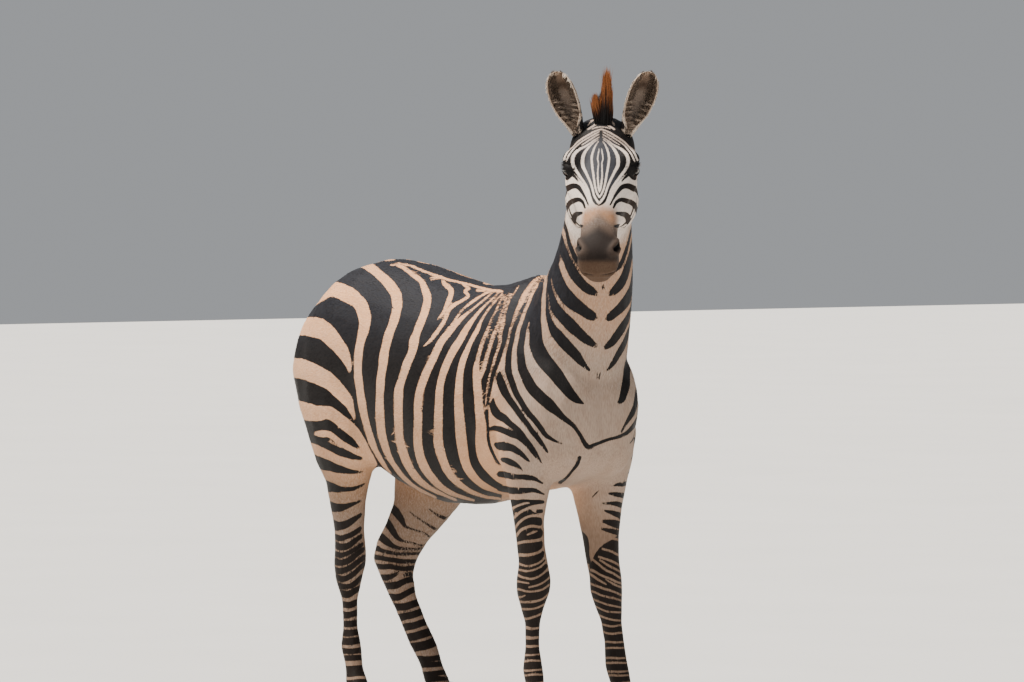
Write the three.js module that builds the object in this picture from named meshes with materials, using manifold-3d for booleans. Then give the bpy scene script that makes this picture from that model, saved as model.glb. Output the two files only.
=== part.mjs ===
// Life-size still model of a plains zebra stallion, standing with the neck up and the head turned to its
// right. Millimetres, +Z up. The body faces -Y, its left side is +X, and it stands on z = 0.
import * as THREE from "three";
import { mergeVertices } from "three/addons/utils/BufferGeometryUtils.js";
import Module from "manifold-3d";

const wasm = await Module();
wasm.setup();

// Driving sizes
const CUT = 0.4; // width of the cuts that part the body
const FIT = 0.5; // room left under a piece that sits on the body
const HEAD_YAW = 36; // degrees that the head is turned to the animal's right
const HEAD_PITCH = -45; // degrees: the face slopes down towards the muzzle
const POLL = { x: -74, y: -742, z: 1630 }; // middle of the head at its back end
const EAR = { length: 176, width: 84, wall: 6 };
const EYE = { radius: 21, left: 82, along: 153, up: 23 };
const MANE = { height: 88, thickness: 30 };
const FORELOCK = { height: 128, width: 46 };
const HOOF = { top: 54, width: 88, length: 104 };

// Left is +1 and right is -1.
const SIDES = { left: 1, right: -1 };

// Which way the toes point, in degrees from straight ahead towards the animal's right
const TOES = { fore: { left: -14, right: 4 }, hind: { left: -26, right: 10 } };

// Legs as level sections from the top down: height, place of the middle, half width and half length.
const LEGS = {
  fore: {
    left: [
      { z: 960, x: 96, y: -452, wide: 44, long: 80 },
      { z: 890, x: 116, y: -454, wide: 72, long: 114 },
      { z: 810, x: 122, y: -448, wide: 82, long: 116 },
      { z: 730, x: 120, y: -436, wide: 82, long: 108 },
      { z: 665, x: 117, y: -432, wide: 74, long: 92 },
      { z: 600, x: 118, y: -434, wide: 60, long: 76 },
      { z: 520, x: 121, y: -438, wide: 48, long: 60 },
      { z: 455, x: 124, y: -443, wide: 45, long: 54 },
      { z: 405, x: 127, y: -455, wide: 48, long: 49 },
      { z: 365, x: 128, y: -457, wide: 48, long: 48 },
      { z: 330, x: 130, y: -463, wide: 41, long: 43 },
      { z: 285, x: 133, y: -474, wide: 27, long: 36 },
      { z: 220, x: 137, y: -484, wide: 25, long: 35 },
      { z: 158, x: 141, y: -490, wide: 32, long: 38 },
      { z: 104, x: 145, y: -507, wide: 29, long: 34 },
      { z: HOOF.top, x: 149, y: -528, wide: 37, long: 42 },
    ],
    right: [
      { z: 960, x: -96, y: -452, wide: 44, long: 80 },
      { z: 890, x: -116, y: -454, wide: 72, long: 114 },
      { z: 810, x: -124, y: -448, wide: 80, long: 116 },
      { z: 740, x: -125, y: -446, wide: 74, long: 104 },
      { z: 680, x: -123, y: -449, wide: 62, long: 84 },
      { z: 626, x: -120, y: -445, wide: 51, long: 66 },
      { z: 570, x: -118, y: -442, wide: 43, long: 52 },
      { z: 500, x: -116, y: -449, wide: 40, long: 48 },
      { z: 452, x: -114, y: -459, wide: 43, long: 47 },
      { z: 406, x: -113, y: -458, wide: 51, long: 52 },
      { z: 372, x: -113, y: -456, wide: 49, long: 50 },
      { z: 330, x: -114, y: -453, wide: 35, long: 37 },
      { z: 290, x: -115, y: -456, wide: 23, long: 29 },
      { z: 225, x: -117, y: -458, wide: 21, long: 27 },
      { z: 158, x: -119, y: -464, wide: 30, long: 35 },
      { z: 104, x: -120, y: -480, wide: 27, long: 32 },
      { z: HOOF.top, x: -121, y: -500, wide: 36, long: 41 },
    ],
  },
  hind: {
    left: [
      { z: 1150, x: 80, y: 500, wide: 60, long: 120 },
      { z: 1080, x: 108, y: 494, wide: 94, long: 180 },
      { z: 1015, x: 124, y: 502, wide: 108, long: 216 },
      { z: 950, x: 134, y: 496, wide: 114, long: 228 },
      { z: 850, x: 146, y: 466, wide: 108, long: 216 },
      { z: 740, x: 146, y: 440, wide: 95, long: 174 },
      { z: 650, x: 138, y: 430, wide: 80, long: 140 },
      { z: 570, x: 128, y: 466, wide: 62, long: 112 },
      { z: 510, x: 114, y: 508, wide: 50, long: 98 },
      { z: 455, x: 103, y: 560, wide: 44, long: 86 },
      { z: 402, x: 95, y: 588, wide: 42, long: 74 },
      { z: 358, x: 94, y: 580, wide: 38, long: 57 },
      { z: 300, x: 98, y: 554, wide: 29, long: 47 },
      { z: 230, x: 104, y: 506, wide: 26, long: 45 },
      { z: 165, x: 111, y: 463, wide: 32, long: 46 },
      { z: 108, x: 117, y: 428, wide: 28, long: 38 },
      { z: HOOF.top, x: 122, y: 400, wide: 36, long: 42 },
    ],
    right: [
      { z: 1150, x: -80, y: 505, wide: 60, long: 120 },
      { z: 1080, x: -108, y: 500, wide: 94, long: 184 },
      { z: 1015, x: -126, y: 508, wide: 110, long: 220 },
      { z: 950, x: -137, y: 500, wide: 116, long: 230 },
      { z: 850, x: -149, y: 468, wide: 112, long: 214 },
      { z: 760, x: -149, y: 456, wide: 99, long: 178 },
      { z: 690, x: -140, y: 476, wide: 80, long: 130 },
      { z: 636, x: -133, y: 478, wide: 61, long: 90 },
      { z: 580, x: -126, y: 490, wide: 52, long: 74 },
      { z: 500, x: -115, y: 499, wide: 43, long: 60 },
      { z: 440, x: -109, y: 502, wide: 45, long: 65 },
      { z: 400, x: -108, y: 507, wide: 46, long: 64 },
      { z: 353, x: -109, y: 511, wide: 39, long: 48 },
      { z: 296, x: -111, y: 503, wide: 24, long: 31 },
      { z: 225, x: -114, y: 495, wide: 22, long: 29 },
      { z: 165, x: -117, y: 486, wide: 31, long: 37 },
      { z: 108, x: -119, y: 466, wide: 27, long: 32 },
      { z: HOOF.top, x: -121, y: 445, wide: 36, long: 41 },
    ],
  },
};

const KEYS = ["x", "y", "z", "yaw", "wide", "up", "down", "top", "bottom"];

// A point on a superellipse: power 2 is round, less is pointed and more is square.
function rounded(value, power) {
  return Math.sign(value) * Math.abs(value) ** (2 / power);
}

// A closed body through a row of sections, drawn with so many steps between neighbours. Each section has
// its middle, its half width, and how far it reaches up and down from there; yaw turns it about the
// vertical. Sections stand square to the row unless one facing is given for all; grow adds a margin.
function loft(sections, { steps = 2, sides, facing = null, grow = 0 }) {
  const rows = sections.map((s) => ({ x: 0, yaw: 0, top: 2, bottom: 2, ...s }));
  const at = [0];
  for (let i = 1; i < rows.length; i += 1) {
    const [a, b] = [rows[i - 1], rows[i]];
    at.push(at[i - 1] + Math.hypot(b.x - a.x, b.y - a.y, b.z - a.z));
  }
  const span = at.at(-1);
  const curve = new THREE.CubicInterpolant(at, rows.flatMap((r) => KEYS.map((k) => r[k])), KEYS.length);
  const sectionAt = (t) => {
    const values = [...curve.evaluate(THREE.MathUtils.clamp(t, 0, span))];
    return Object.fromEntries(KEYS.map((k, i) => [k, values[i]]));
  };
  const rings = (rows.length - 1) * steps;
  const positions = [];
  for (let i = 0; i <= rings; i += 1) {
    const low = Math.min(Math.floor(i / steps), rows.length - 2);
    const t = THREE.MathUtils.lerp(at[low], at[low + 1], i / steps - low);
    const s = sectionAt(t);
    const [before, after] = [sectionAt(t - span / 200), sectionAt(t + span / 200)];
    const direction = facing
      ? new THREE.Vector3(...facing)
      : new THREE.Vector3(after.x - before.x, after.y - before.y, after.z - before.z).normalize();
    const turn = THREE.MathUtils.degToRad(s.yaw);
    const across = new THREE.Vector3(Math.cos(turn), -Math.sin(turn), 0);
    across.addScaledVector(direction, -across.dot(direction)).normalize();
    const up = direction.clone().cross(across);
    for (let j = 0; j < sides; j += 1) {
      const angle = (2 * Math.PI * j) / sides;
      const rise = Math.sin(angle);
      const power = rise >= 0 ? s.top : s.bottom;
      const point = new THREE.Vector3(s.x, s.y, s.z)
        .addScaledVector(across, (s.wide + grow) * rounded(Math.cos(angle), power))
        .addScaledVector(up, ((rise >= 0 ? s.up : s.down) + grow) * rounded(rise, power));
      positions.push(...point.toArray());
    }
  }
  const index = [];
  for (let i = 0; i < rings; i += 1)
    for (let j = 0; j < sides; j += 1) {
      const [a, b] = [i * sides + j, i * sides + ((j + 1) % sides)];
      index.push(a, b, b + sides, a, b + sides, a + sides);
    }
  const last = rings * sides;
  for (let j = 1; j < sides - 1; j += 1) index.push(0, j + 1, j, last, last + j, last + j + 1);
  const geometry = new THREE.BufferGeometry();
  geometry.setAttribute("position", new THREE.Float32BufferAttribute(positions, 3));
  geometry.setIndex(index);
  return solid(geometry);
}

// Solid from a closed geometry, and geometry from a solid
function solid(geometry) {
  const bare = new THREE.BufferGeometry().setAttribute("position", geometry.getAttribute("position"));
  if (geometry.index) bare.setIndex(geometry.index);
  const merged = mergeVertices(bare, 1e-3);
  return new wasm.Manifold(
    new wasm.Mesh({
      numProp: 3,
      vertProperties: merged.attributes.position.array,
      triVerts: new Uint32Array(merged.index.array),
    }),
  );
}

function geometryOf(manifold) {
  const mesh = manifold.getMesh();
  const geometry = new THREE.BufferGeometry();
  geometry.setAttribute("position", new THREE.BufferAttribute(mesh.vertProperties, 3));
  geometry.setIndex(new THREE.BufferAttribute(mesh.triVerts, 1));
  return geometry;
}

// The largest body of a solid: crumbs that a cut leaves behind are dropped.
function largest(manifold) {
  return manifold.decompose().sort((a, b) => b.volume() - a.volume())[0];
}

// A rounded mass of flesh or bone: an ellipsoid at a place, turned by yaw and pitch.
function mass({ x, y, z, radii, yaw = 0, pitch = 0 }) {
  const ball = new THREE.SphereGeometry(1, 11, 7);
  ball.scale(...radii);
  ball.rotateX(THREE.MathUtils.degToRad(pitch));
  ball.rotateZ(THREE.MathUtils.degToRad(-yaw));
  ball.translate(x, y, z);
  return solid(ball);
}

// Half of space on the side that the normal points to, as a large block, moved along by a gap
function halfSpace(point, normal, gap) {
  const size = 4000;
  const block = new THREE.BoxGeometry(size, size, size);
  block.translate(0, 0, size / 2 + gap);
  const towards = new THREE.Vector3(...normal).normalize();
  block.applyQuaternion(new THREE.Quaternion().setFromUnitVectors(new THREE.Vector3(0, 0, 1), towards));
  block.translate(...point);
  return solid(block);
}

// Trunk, from the buttocks to the breast, with the two muscles of the breast between the forelegs
function trunkSolid(grow = 0) {
  const sections = [
    { y: 720, z: 960, wide: 34, up: 36, down: 40 },
    { y: 711, z: 960, wide: 108, up: 104, down: 104 },
    { y: 686, z: 964, wide: 176, up: 160, down: 150 },
    { y: 630, z: 974, wide: 222, up: 222, down: 208, top: 1.95 },
    { y: 540, z: 980, wide: 242, up: 274, down: 254 },
    { y: 420, z: 975, wide: 248, up: 299, down: 298 },
    { y: 280, z: 950, wide: 249, up: 311, down: 328 },
    { y: 120, z: 922, wide: 258, up: 310, down: 337 },
    { y: -40, z: 905, wide: 260, up: 302, down: 318 },
    { y: -190, z: 910, wide: 244, up: 306, down: 298, top: 1.85 },
    { y: -320, z: 922, wide: 218, up: 322, down: 286, top: 1.7 },
    { y: -430, z: 920, wide: 196, up: 306, down: 268, top: 1.7 },
    { y: -515, z: 902, wide: 180, up: 250, down: 232, top: 1.9 },
    { y: -574, z: 884, wide: 160, up: 192, down: 190 },
    { y: -616, z: 870, wide: 120, up: 132, down: 138 },
    { y: -638, z: 864, wide: 64, up: 66, down: 72 },
    { y: -643, z: 864, wide: 20, up: 20, down: 24 },
  ];
  const barrel = loft(sections, { steps: 1, sides: 26, facing: [0, -1, 0], grow });
  return Object.values(SIDES).reduce(
    (trunk, side) =>
      trunk.add(mass({ x: side * 66, y: -528, z: 796, radii: [94, 94, 122].map((radius) => radius + grow) })),
    barrel,
  );
}

const NECK = [
  { x: 0, y: -360, z: 880, yaw: 0, wide: 168, up: 200, down: 190 },
  { x: 4, y: -455, z: 1010, yaw: 4, wide: 158, up: 214, down: 184 },
  { x: 2, y: -525, z: 1120, yaw: 11, wide: 135, up: 196, down: 156, top: 1.8 },
  { x: -8, y: -592, z: 1245, yaw: 19, wide: 114, up: 170, down: 130, top: 1.75 },
  { x: -30, y: -650, z: 1370, yaw: 27, wide: 97, up: 142, down: 114, top: 1.75 },
  { x: -56, y: -700, z: 1480, yaw: 33, wide: 85, up: 116, down: 100, top: 1.8 },
  { x: -76, y: -740, z: 1580, yaw: 36, wide: 76, up: 86, down: 80 },
  { x: -86, y: -764, z: 1636, yaw: 36, wide: 48, up: 48, down: 50 },
];

const neckSolid = (grow = 0) => loft(NECK, { sides: 20, grow });

// The head's own frame: along is from the poll to the muzzle, up is towards the face, left is the animal's.
const headTurn = THREE.MathUtils.degToRad(HEAD_YAW);
const headDip = THREE.MathUtils.degToRad(HEAD_PITCH);
const HEAD = {
  along: new THREE.Vector3(
    -Math.sin(headTurn) * Math.cos(headDip),
    -Math.cos(headTurn) * Math.cos(headDip),
    Math.sin(headDip),
  ),
  left: new THREE.Vector3(Math.cos(headTurn), -Math.sin(headTurn), 0),
  front: new THREE.Vector3(-Math.sin(headTurn), -Math.cos(headTurn), 0),
};
HEAD.up = HEAD.along.clone().cross(HEAD.left);

function onHead(left, along, up) {
  return new THREE.Vector3(POLL.x, POLL.y, POLL.z)
    .addScaledVector(HEAD.left, left)
    .addScaledVector(HEAD.along, along)
    .addScaledVector(HEAD.up, up);
}

function headSolid(grow = 0) {
  const profile = [
    { along: -50, rise: -6, wide: 30, up: 22, down: 40 },
    { along: -36, rise: -2, wide: 60, up: 42, down: 80 },
    { along: 0, rise: 0, wide: 82, up: 58, down: 112 },
    { along: 60, rise: 0, wide: 94, up: 67, down: 140 },
    { along: 120, rise: 0, wide: 101, up: 70, down: 158, top: 2.1, bottom: 2.1 },
    { along: 172, rise: 0, wide: 97, up: 64, down: 154, top: 2, bottom: 2.2 },
    { along: 228, rise: 0, wide: 85, up: 54, down: 132, top: 1.8, bottom: 2.1 },
    { along: 290, rise: 0, wide: 65, up: 46, down: 100, top: 1.9 },
    { along: 350, rise: 0, wide: 54, up: 42, down: 82 },
    { along: 405, rise: 0, wide: 55, up: 43, down: 82, top: 2.3 },
    { along: 448, rise: -2, wide: 59, up: 41, down: 78, top: 2.5 },
    { along: 478, rise: -8, wide: 52, up: 32, down: 68, top: 2.5 },
    { along: 496, rise: -18, wide: 32, up: 15, down: 38 },
    { along: 501, rise: -22, wide: 10, up: 5, down: 12 },
  ];
  const sections = profile.map(({ along, rise, ...section }) => {
    const { x, y, z } = onHead(0, along, rise);
    return { x, y, z, yaw: HEAD_YAW, ...section };
  });
  let head = loft(sections, { sides: 20, facing: HEAD.along.toArray(), grow });
  const lump = (left, along, up, radii) =>
    mass({
      ...onHead(left, along, up),
      radii: radii.map((radius) => radius + grow),
      yaw: HEAD_YAW,
      pitch: HEAD_PITCH + 90,
    });
  for (const side of Object.values(SIDES)) {
    head = head
      .add(lump(side * 64, 122, 34, [45, 50, 36])) // brow over the eye
      .add(lump(side * 52, 172, -80, [48, 90, 72])) // cheek
      .add(lump(side * 36, 430, 8, [27, 34, 30])) // rim of the nostril
      .subtract(lump(side * 50, 434, 10, [12, 16, 11])); // nostril
  }
  return head.add(lump(0, 450, -58, [36, 34, 30])); // chin
}

// The ball of an eye, or with room around it the socket that holds it
function eyeSolid(side, room = 0) {
  const ball = new THREE.SphereGeometry(EYE.radius + room, 12, 8);
  const { x, y, z } = onHead(side * EYE.left, EYE.along, EYE.up);
  ball.translate(x, y, z);
  return solid(ball);
}

function legSolid(kind, name) {
  const yaw = TOES[kind][name];
  const rows = LEGS[kind][name];
  const top = rows[0].z;
  const sections = rows.map(({ long, ...row }) => ({
    ...row,
    up: long,
    down: long,
    yaw: yaw * Math.min(1, (top - row.z) / 450),
  }));
  return loft(sections, { steps: 1, sides: 14, facing: [0, 0, -1] });
}

// A hoof is a horn cone under the coronet, longer at the toe, with a flat sole.
function hoofSolid(kind, name) {
  const yaw = TOES[kind][name];
  const turn = THREE.MathUtils.degToRad(yaw);
  const coronet = LEGS[kind][name].at(-1);
  const ring = (z, forward, share) => ({
    x: coronet.x - Math.sin(turn) * forward,
    y: coronet.y - Math.cos(turn) * forward,
    z,
    yaw,
    wide: (HOOF.width / 2) * share,
    up: (HOOF.length / 2) * share,
    down: (HOOF.length / 2) * share,
  });
  const rows = [
    ring(HOOF.top - CUT, 1, 0.86),
    ring(HOOF.top * 0.8, 4, 0.89),
    ring(HOOF.top * 0.1, 16, 0.995),
    ring(0, 17, 1),
  ];
  return loft(rows, { steps: 1, sides: 16, facing: [0, 0, -1] });
}

// The tail hangs close behind the buttocks; its hair begins where the dock ends.
const TAIL = [
  { y: 610, z: 1132, wide: 34, up: 30, down: 30 },
  { y: 676, z: 1112, wide: 32, up: 30, down: 30 },
  { y: 724, z: 1058, wide: 28, up: 27, down: 27 },
  { y: 745, z: 970, wide: 25, up: 24, down: 24 },
  { y: 744, z: 850, wide: 22, up: 21, down: 21 },
  { y: 734, z: 740, wide: 19, up: 18, down: 18 },
];
const TAIL_HAIR = [
  { y: 734, z: 740 - CUT, wide: 22, up: 20, down: 20 },
  { y: 731, z: 690, wide: 31, up: 27, down: 27 },
  { y: 726, z: 610, wide: 35, up: 30, down: 30 },
  { y: 720, z: 520, wide: 32, up: 27, down: 27 },
  { y: 716, z: 450, wide: 20, up: 17, down: 17 },
  { y: 714, z: 410, wide: 6, up: 6, down: 6 },
];

// The ear is a cupped leaf, open to the front, which leans out from the head and then stands up.
function earSolid(side) {
  const axis = (part) =>
    onHead(0, 24, 34)
      .addScaledVector(HEAD.left, side * (62 + 88 * part - 26 * part * part))
      .add(new THREE.Vector3(0, 0, EAR.length * part))
      .addScaledVector(HEAD.front, -6 * part);
  const leaf = [
    [0, 0.42], [0.14, 0.6], [0.32, 0.84], [0.52, 1], [0.7, 1], [0.84, 0.84], [0.94, 0.58], [1, 0.2],
  ];
  const rows = (shape) =>
    leaf.map(([part, share]) => {
      const { x, y, z } = axis(part);
      return { x, y, z, yaw: HEAD_YAW - side * 14, ...shape((EAR.width / 2) * share) };
    });
  const outer = rows((half) => ({ wide: half, up: half * 0.72, down: half * 0.3 }));
  const inner = rows((half) => ({
    wide: Math.max(half - EAR.wall, 0.6),
    up: Math.max(half * 0.72 - EAR.wall, 0.6),
    down: half + 40,
  }));
  const facing = [0, 0, 1];
  const shell = loft(outer, { steps: 1, sides: 14, facing });
  return shell.subtract(loft(inner.slice(1), { steps: 1, sides: 12, facing }));
}

// The mane is a narrow upright crest along the top of the neck, from the withers to between the ears.
function maneSolid() {
  const crest = (index, share) => {
    const a = NECK[index];
    const b = NECK[Math.min(index + 1, NECK.length - 1)];
    const before = NECK[Math.max(index - 1, 0)];
    const direction = new THREE.Vector3(b.x - before.x, b.y - before.y, b.z - before.z).normalize();
    const turn = THREE.MathUtils.degToRad(a.yaw);
    const across = new THREE.Vector3(Math.cos(turn), -Math.sin(turn), 0);
    const up = direction.clone().cross(across.addScaledVector(direction, -across.dot(direction)).normalize());
    const middle = new THREE.Vector3(a.x, a.y, a.z).addScaledVector(up, a.up - 30);
    return { x: middle.x, y: middle.y, z: middle.z, yaw: a.yaw, up: MANE.height * share + 30, down: 20 };
  };
  const wide = MANE.thickness / 2;
  const rows = [
    { ...crest(1, 0.1), wide: wide * 0.6 },
    { ...crest(2, 0.62), wide },
    { ...crest(3, 0.9), wide },
    { ...crest(4, 1), wide },
    { ...crest(5, 1), wide },
    { ...crest(6, 0.95), wide: wide * 0.9 },
    { ...onHead(0, -16, 34), yaw: HEAD_YAW, wide: wide * 0.8, up: MANE.height * 0.9, down: 16 },
  ];
  return loft(rows.map((row) => ({ top: 2.4, ...row })), { sides: 12 });
}

// A tuft of the mane stands up between the ears.
function forelockSolid() {
  const row = (part, share) => {
    const middle = onHead(0, 8, 30)
      .add(new THREE.Vector3(0, 0, (FORELOCK.height + 30) * part))
      .addScaledVector(HEAD.left, 6 * part);
    const half = (FORELOCK.width / 2) * share;
    return { x: middle.x, y: middle.y, z: middle.z, yaw: HEAD_YAW, wide: half, up: half * 1.2, down: half };
  };
  const rows = [row(0, 0.9), row(0.3, 1), row(0.6, 0.86), row(0.82, 0.56), row(0.95, 0.26), row(1, 0.1)];
  return loft(rows, { steps: 1, sides: 10, facing: [0, 0, 1] });
}

// A region bounded by planes; its gap is inside it for the piece and outside it for the rest.
function region(planes, gap) {
  return planes.map(([point, normal]) => halfSpace(point, normal, gap)).reduce((a, b) => a.intersect(b));
}

// Take from the body the piece inside a region, and leave the rest with a thin cut between them.
function part(body, planes) {
  return [largest(body.intersect(region(planes, CUT / 2))), largest(body.subtract(region(planes, -CUT / 2)))];
}

// The mane of the neck ends behind the tuft between the ears.
const POLL_BACK = onHead(0, -26, 0).toArray();

// Build the flesh whole, then part it where the parts of the animal meet.
function build() {
  const nodes = {};
  let body = trunkSolid().add(neckSolid()).add(headSolid());
  for (const kind of Object.keys(LEGS))
    for (const name of Object.keys(SIDES)) body = body.add(legSolid(kind, name));
  for (const side of Object.values(SIDES)) body = body.subtract(eyeSolid(side, CUT));
  const behindJaw = HEAD.along.clone().addScaledVector(HEAD.up, 0.28).toArray();
  const underJaw = HEAD.up.clone().addScaledVector(HEAD.along, -0.19).toArray();
  [nodes.head, body] = part(body, [
    [onHead(0, 96, -140).toArray(), behindJaw],
    [onHead(0, 150, -172).toArray(), underJaw],
  ]);
  [nodes.neck, body] = part(body, [[[0, -485, 1100], [0, -0.67, 0.74]]]);
  for (const [name, side] of Object.entries(SIDES)) {
    [nodes["foreleg_" + name], body] = part(body, [
      [[side * 112, -440, 700], [side * 0.9, 0, -1]],
      [[0, -606, 0], [0, 1, 0]],
      [[0, -322, 0], [0, -1, 0]],
      [[side * 34, 0, 0], [side, 0, 0]],
    ]);
    [nodes["hindleg_" + name], body] = part(body, [
      [[side * 130, 430, 820], [side * 0.9, 0, -1]],
      [[0, 238, 850], [0, 1, 0.1]],
      [[side * 34, 0, 0], [side, 0, 0]],
    ]);
    nodes["hoof_fore_" + name] = hoofSolid("fore", name);
    nodes["hoof_hind_" + name] = hoofSolid("hind", name);
    nodes["eye_" + name] = eyeSolid(side);
  }
  nodes.trunk = body;
  const under = trunkSolid(FIT).add(neckSolid(FIT)).add(headSolid(FIT));
  for (const [name, side] of Object.entries(SIDES))
    nodes["ear_" + name] = largest(earSolid(side).subtract(under));
  nodes.forelock = largest(forelockSolid().subtract(under));
  nodes.mane = largest(maneSolid().subtract(under).subtract(region([[POLL_BACK, HEAD.front.toArray()]], 0)));
  nodes.tail = largest(loft(TAIL, { sides: 12 }).subtract(under).subtract(halfSpace([0, 0, 740], [0, 0, -1], 0)));
  nodes.tail_tuft = loft(TAIL_HAIR, { sides: 12, facing: [0, 0, -1] });
  return nodes;
}

const MATERIALS = {
  flesh: { color: 0xcbb8a2, roughness: 0.85 },
  hair: { color: 0x2b211b, roughness: 0.9 },
  horn: { color: 0x3a322c, roughness: 0.55 },
  eye: { color: 0x120c08, roughness: 0.08 },
};

function materialFor(name) {
  if (name.startsWith("hoof")) return "horn";
  if (name.startsWith("eye")) return "eye";
  return /mane|forelock|tuft/.test(name) ? "hair" : "flesh";
}

const zebra = new THREE.Group();
zebra.name = "zebra";
const nodes = build();
const box = new THREE.Box3();
for (const [name, value] of Object.entries(nodes)) {
  const geometry = geometryOf(value);
  geometry.computeBoundingBox();
  box.union(geometry.boundingBox);
  const mesh = new THREE.Mesh(geometry, new THREE.MeshStandardMaterial(MATERIALS[materialFor(name)]));
  mesh.name = name;
  zebra.add(mesh);
}

// The origin is in the middle of the bottom of the whole animal.
const middle = box.getCenter(new THREE.Vector3());
for (const mesh of zebra.children) {
  mesh.geometry.translate(-middle.x, -middle.y, -box.min.z);
  mesh.geometry.computeVertexNormals();
}

export default zebra;
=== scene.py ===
"""A life-size figure of a standing zebra, dressed over its solids: skin, markings, coat, eyes and hooves."""

import logging
import math
from collections.abc import Callable
from dataclasses import dataclass, field
from enum import Enum

import bmesh
import bpy
import numpy as np
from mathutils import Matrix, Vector


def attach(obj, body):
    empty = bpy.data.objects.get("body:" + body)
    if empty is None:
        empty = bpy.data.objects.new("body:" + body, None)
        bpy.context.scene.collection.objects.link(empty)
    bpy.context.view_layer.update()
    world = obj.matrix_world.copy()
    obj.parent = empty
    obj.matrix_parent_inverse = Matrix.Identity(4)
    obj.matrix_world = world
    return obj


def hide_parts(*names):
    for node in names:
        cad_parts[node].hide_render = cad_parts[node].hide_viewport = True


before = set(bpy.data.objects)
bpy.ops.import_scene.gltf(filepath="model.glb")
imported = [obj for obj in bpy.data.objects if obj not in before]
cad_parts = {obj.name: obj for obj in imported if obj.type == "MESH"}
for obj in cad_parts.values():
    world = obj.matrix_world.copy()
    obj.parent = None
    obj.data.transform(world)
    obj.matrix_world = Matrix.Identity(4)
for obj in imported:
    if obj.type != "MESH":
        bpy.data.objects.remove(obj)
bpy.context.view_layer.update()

Triple = tuple[float, float, float]  # a place, a colour or three sizes
LOG = logging.getLogger("zebra")

# Metres. Places are given from the figure's own origin, between its feet; ORIGIN is where that lies in the frame.
# The body faces -Y, its left is +X and the floor is at zero.
ORIGIN = np.array((0.02452, 0.13963, 0.0))
COAT_DEPTH = 0.003
LEG_TOP = 0.66  # height at which the legs are parted from the trunk


class Tone(Enum):
    """The two tones of the markings, as the sign that a stroke paints."""

    DARK = 1.0
    PALE = -1.0


class Side(Enum):
    """The animal's own sides, as a sign along +X."""

    LEFT = 1.0
    RIGHT = -1.0


def unit(vector: np.ndarray) -> np.ndarray:
    """Returns the vector, or each row of an array of them, at length one."""
    return vector / np.maximum(np.linalg.norm(vector, axis=-1, keepdims=True), 1e-12)


def ease(low: float, high: float, value: np.ndarray) -> np.ndarray:
    """Rises smoothly from 0 at low to 1 at high.

    Args:
        low: Where the rise begins.
        high: Where it ends.
        value: The values to map.

    Returns:
        The eased share, from 0 to 1.
    """
    t = np.clip((value - low) / (high - low), 0.0, 1.0)
    return t * t * (3.0 - 2.0 * t)


def nearest_on(points: np.ndarray, start: np.ndarray, end: np.ndarray) -> tuple[np.ndarray, np.ndarray]:
    """Finds the place on one straight span that is nearest to each point.

    Args:
        points: The points, one row each.
        start: The span's first end.
        end: Its other end.

    Returns:
        How far along the span each place lies, as a share, and how far off it each point is.
    """
    span = end - start
    share = np.clip((points - start) @ span / max(span @ span, 1e-9), 0.0, 1.0)
    return share, np.linalg.norm(points - start - share[:, None] * span, axis=1)


@dataclass(frozen=True)
class Sheet:
    """The drawing sheet of the markings: the figure seen from the front three quarters, on 1024 by 682 dots."""

    eye: Triple = (-11.8702, -18.3517, 1.8154)
    target: Triple = (0.10455, 0.08778, 1.04762)
    width: int = 1024
    height: int = 682
    focal: float = 7854.0
    scale: float = 357.0

    def axes(self) -> tuple[np.ndarray, np.ndarray, np.ndarray]:
        """Returns the sheet's right, up and back directions."""
        back = unit(np.array(self.eye) - np.array(self.target))
        right = unit(np.cross((0.0, 0.0, 1.0), back))
        return right, np.cross(back, right), back

    def project(self, points: np.ndarray) -> np.ndarray:
        """Lays points on the sheet.

        Args:
            points: Places in the frame, one row each.

        Returns:
            Dots across and down, one row each.
        """
        right, up, back = self.axes()
        ray = points - np.array(self.eye)
        depth = -(ray @ back)
        across = self.width / 2 + self.focal * (ray @ right) / depth
        down = self.height / 2 - self.focal * (ray @ up) / depth
        return np.stack((across, down), axis=1)


SHEET = Sheet()


@dataclass(frozen=True)
class HeadFrame:
    """The head's own directions, from the poll: left, along the face to the muzzle, and up off the face."""

    poll: Triple = (-0.074, -0.742, 1.630)
    yaw: float = 36.0
    pitch: float = 45.0

    def axes(self) -> np.ndarray:
        """Returns left, along and up as the rows of a matrix."""
        yaw = math.radians(self.yaw)
        pitch = math.radians(self.pitch)
        left = np.array((math.cos(yaw), -math.sin(yaw), 0.0))
        along = np.array((-math.sin(yaw) * math.cos(pitch), -math.cos(yaw) * math.cos(pitch), -math.sin(pitch)))
        return np.array((left, along, np.cross(left, along) * -1.0))

    def local(self, points: np.ndarray) -> np.ndarray:
        """Returns places in the frame as left, along and up of the head."""
        return (points - ORIGIN - np.array(self.poll)) @ self.axes().T

    def place(self, left: float, along: float, up: float) -> np.ndarray:
        """Returns the place in the frame of a point given in the head's own directions."""
        return ORIGIN + np.array(self.poll) + np.array((left, along, up)) @ self.axes()


HEAD = HeadFrame()


EYE = np.array((0.085, 0.153, 0.022))  # left, along and up of the head's middle


def along_face(local: np.ndarray) -> np.ndarray:
    """Returns how far each place, given in the head's own directions, belongs to the head and not the neck."""
    return ease(-0.03, 0.04, local[:, 1]) * ease(-0.24, -0.20, local[:, 2])


def on_head(points: np.ndarray) -> np.ndarray:
    """Chooses the points of the head and of the neck's upper end."""
    local = HEAD.local(points)
    return (local[:, 1] + 0.28 * local[:, 2] > -0.045) & (local[:, 2] > -0.22) & (points[:, 2] > 1.1)


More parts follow.
